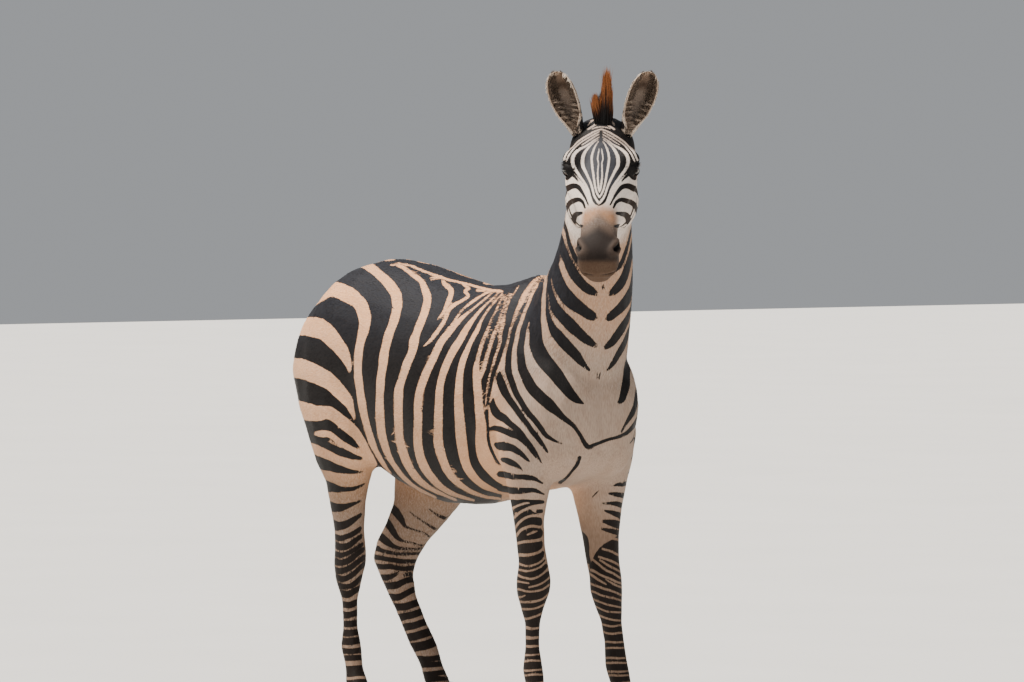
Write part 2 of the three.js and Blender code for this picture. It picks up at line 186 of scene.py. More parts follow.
@dataclass(frozen=True)
class Midplane:
    """The surface that parts the animal's left from its right: flat in the trunk, turned with neck and head."""

    # x, y, z and the turn towards the animal's right, in degrees
    stations: tuple[tuple[float, float, float, float], ...] = (
        (0.000, 0.720, 1.000, 0.0),
        (0.000, -0.280, 0.940, 0.0),
        (0.002, -0.400, 0.940, 1.0),
        (0.004, -0.455, 1.010, 4.0),
        (0.002, -0.525, 1.120, 11.0),
        (-0.008, -0.592, 1.245, 19.0),
        (-0.030, -0.650, 1.370, 27.0),
        (-0.056, -0.700, 1.480, 33.0),
        (-0.074, -0.738, 1.600, 36.0),
        (-0.178, -0.885, 1.453, 36.0),
        (-0.282, -1.028, 1.276, 36.0),
    )

    def nearest(self, points: np.ndarray) -> tuple[np.ndarray, np.ndarray]:
        """Finds where along the animal each point lies.

        Args:
            points: Places in the frame, one row each.

        Returns:
            The middle of the body there, and the direction to the animal's left.
        """
        rows = np.array(self.stations)
        middles = rows[:, :3] + ORIGIN
        best = np.full(len(points), 1e9)
        centre = np.zeros_like(points)
        turn = np.zeros(len(points))
        for a, b, yaw_a, yaw_b in zip(middles, middles[1:], rows[:, 3], rows[1:, 3]):
            t, gap = nearest_on(points, a, b)
            closer = gap < best
            best[closer] = gap[closer]
            centre[closer] = (a + t[:, None] * (b - a))[closer]
            turn[closer] = (yaw_a + t * (yaw_b - yaw_a))[closer]
        turn = np.radians(turn)
        return centre, np.stack((np.cos(turn), -np.sin(turn), np.zeros_like(turn)), axis=1)

    def to_right(self, points: np.ndarray, normals: np.ndarray) -> tuple[np.ndarray, np.ndarray, np.ndarray]:
        """Mirrors what lies on the left to the right.

        Args:
            points: Places in the frame, one row each.
            normals: The surface's direction at each.

        Returns:
            The mirrored places and directions, and how far each point lies to the left.
        """
        centre, left = self.nearest(points)
        offset = np.sum((points - centre) * left, axis=1)
        over = np.maximum(offset, 0.0)
        lean = np.sum(normals * left, axis=1) * (offset > 0)
        return points - 2.0 * over[:, None] * left, normals - 2.0 * lean[:, None] * left, offset


MIDPLANE = Midplane()


@dataclass(frozen=True)
class Stroke:
    """One mark, drawn on the sheet as a row of dots across, dots down and its width there."""

    name: str
    tone: Tone
    path: tuple[Triple, ...]
    around: bool = False
    lone: bool = False

    def line(self) -> np.ndarray:
        """Returns the mark's middle line and width, rounded through its dots."""
        dots = np.array(self.path, dtype=float)
        if self.around:
            far = 2.0 * dots[0] - dots[1:5]
            far[:, 2] = dots[1:5, 2]
            dots = np.vstack((far[::-1], dots))
        if len(dots) < 3:
            return dots
        ends = np.vstack((2 * dots[0] - dots[1], dots, 2 * dots[-1] - dots[-2]))
        out = []
        for i in range(1, len(ends) - 2):
            for t in (0.0, 1 / 3, 2 / 3):
                out.append(self._between(ends[i - 1 : i + 3], t))
        out.append(dots[-1])
        line = np.array(out)
        line[:, 2] = np.maximum(line[:, 2], 0.3)
        return line

    @staticmethod
    def _between(four: np.ndarray, t: float) -> np.ndarray:
        """Returns the point at share t between the middle two of four dots, on a smooth curve."""
        a, b, c, d = four
        return 0.5 * (2 * b + (c - a) * t + (2 * a - 5 * b + 4 * c - d) * t**2 + (3 * b - a - 3 * c + d) * t**3)

    def paint(self, ink: np.ndarray, dots: np.ndarray) -> None:
        """Lays the mark over what is there.

        Args:
            ink: How far inside the dark each point is, in dots; changed in place.
            dots: The points on the sheet, one row each.
        """
        line = self.line()
        reach = line[:, 2].max() + 12.0
        low, high = line[:, :2].min(axis=0) - reach, line[:, :2].max(axis=0) + reach
        near = np.flatnonzero(np.all((dots > low) & (dots < high), axis=1))
        if not len(near):
            return
        at = dots[near]
        best = np.full(len(near), -1e9)
        for a, b in zip(line, line[1:]):
            t, gap = nearest_on(at, a[:2], b[:2])
            best = np.maximum(best, (a[2] + t * (b[2] - a[2])) / 2.0 - gap)
        if self.tone is Tone.DARK:
            ink[near] = np.maximum(ink[near], best)
        else:
            ink[near] = np.minimum(ink[near], -best)


def field_depth(outline: tuple[tuple[float, float], ...], dots: np.ndarray) -> np.ndarray:
    """Measures how far inside a closed outline each dot is.

    Args:
        outline: The corners, in order.
        dots: The points on the sheet.

    Returns:
        The distance to the outline, above zero inside it.
    """
    corners = np.array(outline, dtype=float)
    inside = np.zeros(len(dots), dtype=bool)
    gap = np.full(len(dots), 1e9)
    for a, b in zip(corners, np.roll(corners, -1, axis=0)):
        gap = np.minimum(gap, nearest_on(dots, a, b)[1])
        crosses = (a[1] > dots[:, 1]) != (b[1] > dots[:, 1])
        with np.errstate(divide="ignore", invalid="ignore"):
            at = a[0] + (dots[:, 1] - a[1]) * (b - a)[0] / (b - a)[1]
        inside ^= crosses & (dots[:, 0] < at)
    return np.where(inside, gap, -gap)


def dark(name: str, *path: Triple, around: bool = False, lone: bool = False) -> Stroke:
    """Returns a dark mark; around carries it on behind the outline, and lone keeps it off the left side."""
    return Stroke(name, Tone.DARK, path, around, lone)


def pale(name: str, *path: Triple, around: bool = False) -> Stroke:
    """Returns a pale mark; around carries it on behind the outline from its first dot."""
    return Stroke(name, Tone.PALE, path, around)


def rings(name: str, ends: tuple[float, float], downs: tuple[float, ...], width: float, rise: float,
          make: Callable[..., Stroke] = dark) -> tuple[Stroke, ...]:
    """Returns a row of level rings round a leg.

    Args:
        name: Their common name.
        ends: How far across each ring starts and ends.
        downs: How far down each lies.
        width: How wide each is.
        rise: How far the end stands above the start.
        make: Whether they are dark or pale.

    Returns:
        The marks.
    """
    a, b = ends
    middle = (a + b) / 2.0
    return tuple(
        make(f"{name}_{i}", (a, y, width), (middle, y + 1.2 * (-1) ** i, width * 1.15), (b, y - rise, width * 0.8))
        for i, y in enumerate(downs)
    )


# The dark ground of the haunch and barrel, over which the pale bands are laid
BARREL_GROUND = (
    (560, 262), (545, 272), (533, 280), (523, 292), (517, 303), (512.5, 315), (508.5, 326), (505, 338), (502, 349),
    (499, 358), (495.4, 368), (491.6, 380), (489, 393), (487, 410), (487, 428), (489, 443), (493, 455), (499, 467),
    (503, 480), (502, 496), (497, 530), (400, 530), (388, 492), (377, 470), (366, 456), (356, 449.5), (345, 445),
    (334, 441.5), (323, 442), (312, 448), (240, 440), (180, 420), (180, 200), (560, 200),
)

BODY_MARKS = (
    pale("haunch_upper", (262, 345, 12), (292, 314, 13), (318, 296, 13), (331, 289, 15), (345, 293, 16),
         (352, 297, 15), (358, 302, 13.5), (362.5, 309, 13), (364.5, 318, 12.5), (364, 328, 10.5), (361.5, 337, 9),
         (359.2, 348, 8.3), (358, 360, 8), (358, 372, 8), (359, 385, 8), (361, 398, 8), (363, 410, 7.5),
         (367, 427, 7), (371, 440, 6.5), (376, 451, 5), (382, 462, 4), (391, 474, 2)),
    pale("loin", (330, 270, 7), (350, 263, 7), (364, 264, 8), (374, 270, 8.5), (382, 277, 9), (390, 285, 10.5),
         (395.5, 294, 10.5), (397, 303, 10), (395.5, 315, 9), (391.5, 327, 8.8), (387, 340, 8.6), (384, 355, 8.8),
         (382, 370, 8.6), (380.3, 385, 8), (379.5, 400, 8), (379.7, 412, 8.3), (380.5, 425, 8), (383, 440, 8),
         (388, 455, 6.5), (396, 468, 5), (406, 480, 4), (420, 490, 3), (436, 498, 2)),
    pale("flank_1", (390, 264.5, 1.2), (400, 266, 3), (408, 271, 4), (414, 275.5, 4.5), (421, 281, 5),
         (425, 289, 7), (427.3, 298, 7.6), (425.5, 308, 7.6), (422.5, 318, 7.8), (417.5, 330, 7.8),
         (414, 341, 9), (412, 352, 8.4), (407, 363, 8), (403, 375, 8), (399.2, 388, 8.2), (398.3, 400, 8.6),
         (398.2, 412, 8.4), (398.6, 425, 8.2), (399.8, 440, 8.2), (403, 453, 8.4), (408, 465, 8.6),
         (415, 476, 7.5), (426, 486, 5.5), (441, 494, 3.5), (456, 500, 2)),
    pale("rump_dash", (384, 260, 1.2), (390, 259.3, 2), (397, 258.6, 1.4)),
    pale("spine_line", (398, 262.6, 1.2), (410, 265.6, 2.2), (420, 269.6, 2.4), (430, 273.4, 2.4),
         (440, 276.8, 2.4), (450, 280.2, 2.2), (460, 282.4, 2.2), (470, 284.8, 2.2), (480, 287.4, 2.4),
         (490, 290, 2.6), (502, 291.4, 2.6)),
    pale("loin_dash_1", (431, 278.5, 2.8), (435, 277.5, 3), (439.5, 275, 1.5)),
    pale("loin_fleck", (442.5, 280.5, 3), (445, 284, 4), (449.5, 288, 5), (451.5, 293, 5), (449.5, 299, 4.8),
         (446.5, 306, 4), (443, 313, 2.8), (437.5, 319.5, 1)),
    pale("loin_fork", (423.8, 346, 1), (429.5, 341, 2.6), (436, 333, 3.6), (441.5, 325, 3.8), (446, 317, 3.4),
         (449, 309.5, 3.4), (455, 304, 3), (463, 300, 2.8), (468, 296, 3.2), (465.5, 291, 3.6), (468.5, 288.5, 3),
         (465, 286, 2.4), (462, 282.6, 2)),
    pale("loin_dash_2", (477.5, 290, 2.6), (484.5, 291, 2)),
    pale("flank_2_fork", (446, 330, 1), (452.5, 323.5, 2), (458.5, 314.5, 2), (464, 308, 1.8), (472, 302, 2.8),
         (480, 296.5, 2.4), (489, 291.5, 2)),
    pale("flank_2", (494, 291.5, 0.9), (486, 298, 1.6), (477, 305.5, 1.8), (468, 312.5, 2.1), (459.5, 320.5, 4),
         (451, 330, 5.6), (443, 339, 6.8), (436.8, 350, 7.4), (431.5, 361, 7.6), (427, 371, 7.6),
         (422.5, 382, 7.6), (419.5, 393, 8), (418.3, 405, 8.2), (418, 418, 8.2), (417.5, 430, 8.4),
         (417.8, 443, 8.6), (420, 456, 8.6), (424.5, 467, 8.4), (431, 477, 7.6), (441, 487, 6), (456, 495, 4),
         (474, 500.5, 2)),
    pale("flank_3", (499, 292.5, 0.9), (491, 299.5, 1.7), (483, 307.5, 2.2), (475, 316.5, 2.9), (467.5, 327, 5.4),
         (460.5, 339, 6.8), (453.5, 350, 7.6), (448, 361, 7.4), (443.5, 372, 7.2), (440.5, 383, 7.2),
         (439.3, 395, 7.6), (438.6, 408, 8), (438, 420, 8.4), (438, 433, 9), (439, 446, 9), (442, 458, 8.6),
         (447, 470, 8), (454.5, 480, 7), (466, 489, 5), (482, 496, 3.4), (500, 499, 2)),
    pale("flank_4", (502, 294, 0.9), (495.5, 300.5, 1.5), (488, 309.5, 1.8), (481.5, 320, 2.2), (477, 330, 4.2),
         (471, 341, 4.6), (466, 352, 5.4), (462, 363, 6), (459.8, 374, 6.4), (459, 386, 7.2), (458.6, 398, 8),
         (458.8, 410, 9), (460, 423, 9.8), (461, 436, 10.4), (462.5, 449, 10.4), (465, 461, 9), (470.5, 473, 8),
         (480, 483, 6.6), (493, 490, 4.6), (508, 494, 3)),
    pale("flank_5", (505, 294.5, 0.9), (500.5, 301, 1.5), (496, 310, 1.6), (492, 319, 1.7), (487.5, 330, 3),
         (482.8, 341, 3.2), (480, 350, 3.6), (477.3, 360, 4), (476, 370, 6.4), (477, 382, 8), (478, 394, 8.2),
         (478.8, 406, 8.4), (480, 418, 9), (481.3, 430, 11.5), (482, 442, 13), (484, 454, 14), (489.5, 465, 13),
         (500, 476, 12), (514, 484, 10)),
    pale("shoulder_1", (509, 292, 0.9), (506, 300, 1.5), (502.5, 310, 1.7), (499, 321, 1.8), (495.5, 331, 3),
         (491.5, 341, 3.4), (488.5, 351, 3.4), (486, 360, 3.6), (483, 370, 4), (480, 379, 3)),
    pale("shoulder_2", (519, 286, 0.8), (514, 293, 1.3), (509, 302, 1.5), (505.5, 312, 1.6), (503.5, 321, 2.4),
         (501, 331, 2.6), (499.5, 342, 2.8), (497, 352, 3), (494.5, 361, 3.2), (491.8, 371, 3.2),
         (489.2, 381, 3), (487.5, 391, 2.6), (486.6, 401, 2), (486.4, 411, 1)),
    # The shoulder, neck and chest have dark marks on a pale ground.
    dark("shoulder_3", (531, 280, 1.5), (523, 290, 2.8), (517.5, 300, 3.4), (513, 311, 4), (509, 322, 4.4),
         (506, 333, 5), (503, 344, 5), (500, 354, 4.8), (497, 363, 4.6), (493.4, 373, 4.4), (490.8, 384, 4),
         (488.8, 396, 3.4), (487.4, 410, 3), (487.4, 425, 3), (488.8, 440, 3.4), (491.5, 451, 3.4),
         (496, 459, 2.4), (501, 466, 1.2)),
    dark("shoulder_4", (541, 277, 1.5), (534, 286, 2.4), (528, 296, 3), (523, 307, 3.6), (518, 318, 4.6),
         (514, 329, 5), (511.5, 340, 5.2), (509.5, 350, 5.6), (508, 360, 6.6), (508.3, 370, 7), (511, 380, 6.8),
         (515, 390, 6.4), (520, 400, 6), (526, 410, 6), (533, 418, 5.6), (540, 427, 5.4), (546, 435, 5),
         (554, 440.5, 3), (563, 444, 1.2)),
    dark("chest_1", (546, 275, 1.7), (540, 285, 3.1), (535, 296, 4.2), (530.5, 308, 5.4), (526.5, 320, 6.1),
         (523, 332, 6.6), (521, 344, 7.3), (520.5, 356, 8.3), (522.5, 368, 9.4), (527, 379, 10.6), (533, 389, 11.3),
         (541, 397.5, 11.8), (549.5, 405, 11.3), (557, 412, 8.3), (565, 419, 5.9), (573, 425.5, 4.4), (578, 432, 3.4)),
    dark("chest_fork", (575, 428, 3.4), (580.5, 435.4, 4), (584.4, 442.6, 4.6), (588.8, 447.4, 5), (595, 444.6, 3.8),
         (606, 440.4, 3.2), lone=True),
    dark("chest_2", (548.5, 272, 1.9), (542.5, 281, 4), (539, 292, 7.1), (536.5, 304, 9.4), (535.5, 317, 11.1),
         (535.3, 330, 12.3), (536.2, 343, 14.2), (540, 354, 15.3), (547, 364, 15.3), (555, 373.5, 14.2), (562, 383, 13),
         (569, 392, 10.6), (576, 399.5, 7.6), (583, 403.5, 1.9)),
    pale("neck_edge", (548, 268, 2), (546, 278, 2.2), (544.2, 290, 2.6), (543.4, 302, 3.2), (543, 315, 4)),
    dark("throat_1", (548.5, 276, 2.6), (547.2, 290, 2.4), (546.8, 304, 3.1), (547.8, 314, 4.7), (550, 323, 6.6),
         (554, 331, 9.7), (560, 338, 11.6), (567, 346, 11.8), (574, 353, 10.4), (580.5, 361, 8.4), (589, 370, 2.6)),
    dark("throat_2", (549.8, 270, 2.4), (549.6, 281, 3.3), (551, 292, 5.2), (553.2, 302, 8.3), (557, 310, 10.6),
         (563, 317.5, 11.8), (570.5, 325, 12.3), (578.5, 332.5, 11), (586.5, 339.5, 9.6), (595, 345.6, 5)),
    dark("throat_3", (552.6, 256, 5.9), (554.6, 268, 9.4), (557.5, 279, 11.8), (561.5, 289, 13), (567.5, 297.5, 14.2),
         (575.5, 305, 13), (584, 311, 11.3), (591.5, 316, 9.9), (596, 318.5, 3.5), around=True),
    dark("throat_4", (557.5, 222, 4.7), (558.6, 233, 6.4), (560.6, 243, 7.6), (563.6, 252, 8.3), (567, 261, 8.7),
         (571.6, 270, 10.1), (577, 278.5, 10.1), (583.5, 285.5, 10.1), (590.5, 290.6, 8.6), (596.5, 294, 4),
         around=True),
    dark("throat_5", (561, 194, 3.4), (561.5, 206, 4), (562, 218, 3.6), (566, 230, 3.4), (569, 242, 4),
         (573, 253, 5), (578, 263, 5), (586, 270, 5), (599, 275, 5), around=True),
    dark("throat_fleck", (603, 286, 3), (602, 290, 1.5)),
    dark("breast_line", (597, 372, 1.2), (597, 379, 1.6)),
    dark("breast_median", (579.5, 457.5, 4), (577, 465, 3.6), (571.5, 472, 2.8), (566, 478, 2.8), (560, 483, 3.6),
         lone=True),
    # The point of the shoulder and the top of the foreleg
    dark("fork_1", (499.5, 371, 2.2), (499.8, 379, 7.6), (503, 388.5, 8.6), (508, 397, 7.6), (513.5, 405.5, 6.9),
         (519.5, 414, 6.5), (525.5, 422, 6), (532, 431, 5.4), (540, 441, 4.8), (547.5, 452, 2.2)),
    dark("fork_2", (493.4, 399, 2.2), (493.5, 407, 7.6), (497, 414, 8.6), (504, 418.5, 7.6), (511, 424.5, 6.5),
         (519, 431.5, 5.8), (527, 440, 4.3), (534, 449, 3.2), (542, 464, 1.5)),
    dark("fork_3", (489.5, 430, 3.2), (495, 428, 5.4), (503, 430.5, 6.5), (511, 434, 6.5), (519, 437.5, 5.4),
         (527, 445, 3.7), (537, 459, 1.7)),
    dark("arch_1", (496, 444.5, 4.3), (500, 446, 8.2), (507, 446.6, 8.6), (514, 449, 6.9), (521, 454, 5.4),
         (529, 461, 2.2)),
    dark("arch_2", (502.5, 459.5, 4.3), (508, 461, 6.5), (514, 464, 5.4), (521, 468.5, 2.2)),
    dark("fore_ring_1", (500, 474, 6), (508, 475.5, 6.5), (516, 477, 5.8), (526, 477, 5.4), (534, 478.5, 4.3),
         (543, 484, 1.5)),
    dark("fore_ring_2", (500, 488, 6.5), (508, 489.8, 6.9), (518, 491, 6.5), (527, 490.4, 5.6), (535, 490.6, 4.3),
         (544, 494, 1.5)),
    dark("fore_top", (506, 504, 8), (516, 502.5, 5.4), (524, 501.6, 4.4), (534, 502, 4.4), (544, 502, 3.4)),
    dark("fore_block", (524, 513, 14), (527, 522, 24), (531, 534, 40), (531, 548, 44), (532, 570, 46), (533, 604, 46),
         (532, 640, 42), (532, 700, 42)),
    dark("fore_block_left", (510, 514, 9), (512, 526, 9), (514, 540, 9), (514, 552, 9)),
    dark("fore_block_right", (538, 511.4, 4.4), (546, 511.4, 3.4)),
    dark("fore_block_top", (507, 506, 13), (516, 506, 13), (526, 505.4, 9), (534, 503, 5), (544, 502, 3.4)),
    pale("fore_curve_1", (500, 512, 2.2), (511, 508.4, 2.3), (516, 506.6, 2.2), (520, 504.8, 2), (525, 503.2, 1.8),
         (529, 503, 1.2)),
    pale("fore_curve_2", (500, 527, 2), (512, 519, 2.2), (516, 516, 2.4), (520, 512.5, 2.5), (525, 509.2, 2.5),
         (530, 507.2, 2.6), (537, 506.2, 2.8), (550, 506, 3)),
    pale("fore_curve_3", (506, 542, 1.8), (514, 529.6, 2), (517, 525.6, 2.4), (520, 521.8, 2.6), (525, 518.2, 2.6),
         (530, 516.2, 2.6), (536, 515.8, 2.8), (552, 517, 3)),
    pale("fore_curve_4", (508, 548, 2), (516, 536.4, 2.6), (519, 532.6, 2.6), (522, 529.8, 2.6), (527, 527.2, 2.6),
         (532, 526, 2.8), (538, 526.8, 2.8), (550, 529, 2.8)),
    pale("fore_slit", (527.4, 534.6, 1.4), (532, 533, 2.4), (537, 531.4, 1.8)),
    pale("fore_line_1", (506, 546, 2.4), (514, 544.6, 2.6), (522, 542, 2.7), (530, 541.4, 2.8), (538, 540.4, 2.8),
         (544, 538, 2.8), (554, 533, 2.6)),
    pale("fore_line_2", (506, 557, 3), (518, 555.4, 3), (524, 555, 3.2), (532, 554.4, 3), (539, 552, 2.6),
         (545, 546.6, 2.2), (553, 538, 1.6)),
    pale("fore_line_3", (509, 562, 2.2), (517, 563, 2.4), (525, 566, 2), (534, 565, 2), (542, 560.5, 2),
         (549, 551, 2), (554, 545, 1.5)),
    pale("fore_line_4", (509, 569, 2), (517, 569.4, 2.2), (527, 571, 1.8), (536, 569.5, 1.8), (543, 565, 1.8),
         (549.5, 557.5, 1.8), (555, 552, 1.5)),
    pale("fore_line_5", (508, 573, 2), (516, 574.8, 2.4), (525, 577.6, 2.2), (532, 579, 2), (540, 576, 1.8),
         (547, 570, 1.8), (555, 562, 1.5)),
    pale("fore_line_6", (507, 581, 2), (516, 581.4, 2.2), (529, 583, 1.5)),
    pale("fore_line_7", (529, 587, 1.8), (538, 585, 1.8), (546, 580.5, 1.8), (556, 572, 1.5)),
    pale("fore_line_8", (507, 588.5, 2), (518, 589.5, 2), (530, 591.8, 2), (541, 590, 2), (549, 585, 1.8),
         (557, 579, 1.5)),
    pale("fore_line_9", (508, 597, 1.8), (518, 597.4, 1.8), (525, 595.4, 1.2)),
    pale("fore_line_10", (510, 600, 2), (520, 601.6, 2.4), (532, 602, 2.2), (542, 599, 2), (549, 593, 1.8),
         (557, 587, 1.5)),
    pale("fore_line_11", (515, 608, 1.6), (524, 609, 2.2), (535, 608.5, 2), (546, 603.5, 1.8), (556, 597, 1.4)),
    pale("fore_line_12", (517, 618, 2), (526, 618.6, 2.6), (535, 616.6, 2), (544, 612, 1.6)),
    pale("fore_line_13", (517, 626, 2.2), (525, 627.4, 3), (532, 629, 2.4), (543, 627, 1.8)),
    pale("fore_line_14", (518, 636, 2.4), (527, 637.4, 3.4), (533, 638.4, 2.6), (544, 636, 1.8)),
    pale("fore_line_15", (520, 645, 1.8), (528, 646.4, 2.6), (534, 646, 2.4), (544, 645, 1.8)),
    *rings("fore_line_low", (514.0, 550.0), (654.0, 662.0, 669.5, 676.0, 682.0, 687.0), 1.7, 1.5, pale),
    # The hind leg, from the haunch down
    pale("haunch_1", (230, 352, 13), (262, 337, 14), (290, 328, 16), (304, 326.5, 18), (316, 327.5, 20),
         (325, 331.5, 18), (332, 338.5, 16), (338, 345.5, 14), (344, 354, 11), (348, 363, 7), (349.4, 373, 1.6)),
    pale("haunch_2", (230, 374, 15), (262, 368, 17), (290, 367.5, 19), (304, 369.5, 19.6), (316, 374.5, 18),
         (325, 379, 17), (332, 384, 15), (339, 391, 13.6), (346, 399, 11.6), (351, 408, 6.6), (355.5, 421, 1.6)),
    pale("haunch_3", (230, 410, 15), (262, 409, 16), (290, 408.5, 17), (304, 411, 17.4), (316, 413.4, 15.6),
         (325, 412.6, 13.4), (332, 414, 12), (339, 419, 11.4), (346, 425, 12.4), (353, 431, 11),
         (359, 438, 9), (366, 450, 8), (373, 464, 8)),
    pale("haunch_4", (316, 434, 5), (323, 433.6, 6.6), (330, 435, 6), (338, 441, 5), (346, 446, 5),
         (354, 450.5, 5.6), (363, 455, 7)),
    pale("haunch_5", (230, 440, 12), (262, 441, 12), (296, 442, 9), (308, 446, 8), (318, 450, 8), (328, 453, 7),
         (338, 457.6, 6), (350, 462, 6.6), (362, 465, 9)),
    dark("hind_ring_0", (306, 437, 6), (314, 439, 7), (322, 443, 7.6), (330, 447, 7.4), (340, 451.6, 8),
         (350, 455.4, 7), (361, 459, 3)),
    dark("hind_ring_1", (298, 455, 11), (310, 459.5, 12), (320, 463, 12), (330, 466.4, 10), (340, 469.4, 8),
         (350, 471.4, 5.6), (363, 472.4, 1.8)),
    dark("hind_ring_2", (312, 483, 11), (322, 485, 11.6), (331, 487.4, 10), (340, 489, 6.6), (350, 489.2, 4.4),
         (359, 486.6, 3), (367, 482.6, 1.4)),
    dark("hind_ring_3", (316, 504, 9), (326, 505, 9.4), (335, 507.6, 9), (344, 507.2, 6.4), (352, 504.2, 4.6),
         (360, 501, 2.6), (368, 498, 1.2)),
    dark("hind_ring_4", (320, 523, 8.4), (330, 524, 9.6), (338, 526, 9.6), (347, 524, 7.2), (355, 518.6, 5.5),
         (362, 514, 3.6), (370, 510, 1.9)),
    dark("hind_ring_5", (322, 535, 6), (333, 536.4, 6), (341, 538.2, 6), (349, 536, 5.5), (357, 531, 5.3),
         (366, 524, 3.1)),
    dark("hind_ring_6", (322, 541, 6), (334, 544, 6.5), (341, 547, 7.2), (349, 545.4, 6), (356, 540, 5.3),
         (366, 533, 3.6)),
    dark("hind_ring_7", (322, 551, 5.3), (333, 553, 5.8), (341, 555.2, 5.5), (349, 552.6, 5), (357, 548, 4.3),
         (368, 541, 3.6)),
    dark("hind_ring_8", (322, 560, 6), (333, 561, 6.7), (341, 562.8, 6.5), (349, 560.6, 6), (357, 554, 5.3),
         (368, 547, 4.3)),
    dark("hind_ring_9", (322, 569, 5.8), (333, 569.4, 6.5), (341, 571.2, 6), (350, 568, 5.5), (359, 561, 5),
         (369, 554, 4.8)),
    dark("hind_ring_10", (324, 575, 5.5), (334, 576.4, 6.2), (342, 579, 6), (350, 576.6, 5.8), (359, 569, 5),
         (368, 561, 4.8)),
    dark("hind_ring_11", (328, 583, 5.5), (337, 585, 6.5), (344, 587, 6), (352, 585, 5.5), (362, 577, 5.3)),
    dark("hind_ring_12", (332, 592, 6), (341, 593.4, 6.7), (348, 594.6, 7.2), (356, 590, 6), (364, 586, 4.8)),
    dark("hind_ring_13", (336, 602, 6), (344, 604.8, 6.7), (350, 605, 6.5), (360, 600.6, 6)),
    dark("hind_ring_14", (336, 612.6, 6.5), (344, 615, 7), (351, 614.6, 6.7), (361, 611, 6)),
    dark("hind_ring_15", (336, 622.6, 6), (345, 624, 6.7), (352, 623.6, 6.5), (362, 621, 6)),
    dark("hind_ring_16", (336, 632, 6), (346, 633, 7), (353, 632.6, 6.7), (364, 630, 6)),
    dark("hind_ring_17", (336, 641, 7.2), (346, 641.6, 7.2), (354, 641, 7.2), (366, 639, 7.2)),
    *rings("hind_ring_low", (330.0, 374.0), (650.0, 659.0, 667.5, 675.0, 681.5, 687.0), 5.2, 1.5),
    dark("hind_pastern", (320, 694, 10), (390, 694, 10)),
)

# The left foreleg: rings outside, pale inside, and the chestnut above the knee
LEFT_FORE_MARKS = (
    dark("left_fore_0", (636, 458, 4.6), (626, 466, 4.6), (618, 472, 3.4), (609, 479, 2.8), (600, 489, 1.8),
         (592, 497, 1)),
    dark("left_fore_1", (640, 480, 5.8), (626, 482.6, 5.8), (618, 485, 4.1), (611, 486.4, 1.6)),
    dark("left_fore_2", (640, 498, 5.8), (626, 496, 5.8), (617, 494.6, 4.6), (609, 493.6, 1.8)),
    dark("left_fore_3", (640, 510, 5.8), (625, 506.4, 5.8), (615, 503.6, 4.8), (603, 503, 1.8)),
    dark("left_fore_4", (640, 523, 5.8), (623, 517, 6.2), (614, 513.4, 5.3), (605, 510.6, 2.3)),
    dark("left_fore_5", (640, 532, 8), (622, 526, 8), (612, 523, 6.9), (603, 521.4, 3.4)),
    dark("left_fore_6", (640, 542, 5.8), (620, 533.6, 5.8), (610, 530.6, 4.6), (602, 529, 2.3)),
    dark("left_fore_upper", (628, 536, 8), (618, 545, 16), (608, 553, 12), (600, 560, 8), (592, 566, 6)),
    dark("left_fore_lower", (616, 546, 16), (611, 558, 30), (609, 576, 42), (610, 612, 50), (612, 640, 50),
         (614, 700, 50)),
    pale("left_line_0", (640, 546, 2), (622, 541, 2.4), (612, 538.6, 2.2), (602, 537.6, 1.6)),
    pale("left_line_1", (640, 562, 2), (620, 556, 2.4), (612, 551.6, 2.4), (603, 549, 2)),
    pale("left_line_2", (640, 572, 2), (621, 566, 2.4), (611, 561, 2.4), (599, 556.6, 2)),
    pale("left_line_3", (640, 579, 2), (621, 572, 2), (610, 566.4, 2.2), (600, 560, 2)),
    pale("left_line_4", (640, 585, 2), (622, 578.4, 2), (612, 573, 2.2), (603, 568, 2.2), (593, 559.6, 2.4)),
    pale("left_line_5", (640, 590, 2), (622, 583.6, 2), (609, 578.4, 2.2), (600, 574.6, 2.2), (591, 569.6, 2.4)),
    pale("left_line_6", (606, 584.4, 1.2), (600, 581, 2.2), (591, 574.6, 2.2), (584, 570, 2)),
    pale("left_line_7", (640, 592, 2), (622, 587.4, 2), (612, 583, 1.8), (606, 579.6, 1)),
    pale("left_line_8", (640, 600, 2), (622, 595.4, 2), (610, 590.4, 2.2), (600, 587.4, 2.2), (588, 582.6, 2)),
    pale("left_line_9", (640, 604, 2), (622, 600.6, 1.8), (611, 597.8, 2), (600, 594.6, 2), (588, 589.6, 2)),
    pale("left_line_10", (640, 610, 1.8), (622, 607.4, 1.8), (608, 604.6, 1.8), (598, 601, 1.8), (588, 597, 1.6)),
    pale("left_line_11", (640, 614, 1.8), (622, 612.4, 1.8), (608, 611.4, 1.8), (592, 605, 1.6)),
    pale("left_line_12", (640, 621, 2), (622, 620.4, 2), (610, 619.6, 2), (596, 614, 1.8)),
    pale("left_line_13", (640, 624, 2), (622, 625, 2), (611, 626.6, 2), (597, 622.4, 1.8)),
    pale("left_line_14", (640, 633, 2), (623, 632.4, 2), (612, 634, 2), (598, 630, 1.8)),
    *rings("left_line_low", (592.0, 640.0), (641.0, 649.0, 657.0, 664.0, 670.5, 676.5, 682.0), 1.8, 0.5, pale),
    dark("left_chestnut", (580, 533, 5), (584, 538, 7), (585.4, 546, 8), (586.4, 555, 7), (589, 562, 4)),
)

# The left half of the chest, which differs from the right
LEFT_CHEST_MARKS = (
    dark("left_fork", (598, 443.4, 3.6), (608, 439.6, 3.2), (618, 437, 3.4), (626, 433.4, 4), (633, 426.6, 4.4),
         (639, 417, 4.4), (644, 406, 4)),
)

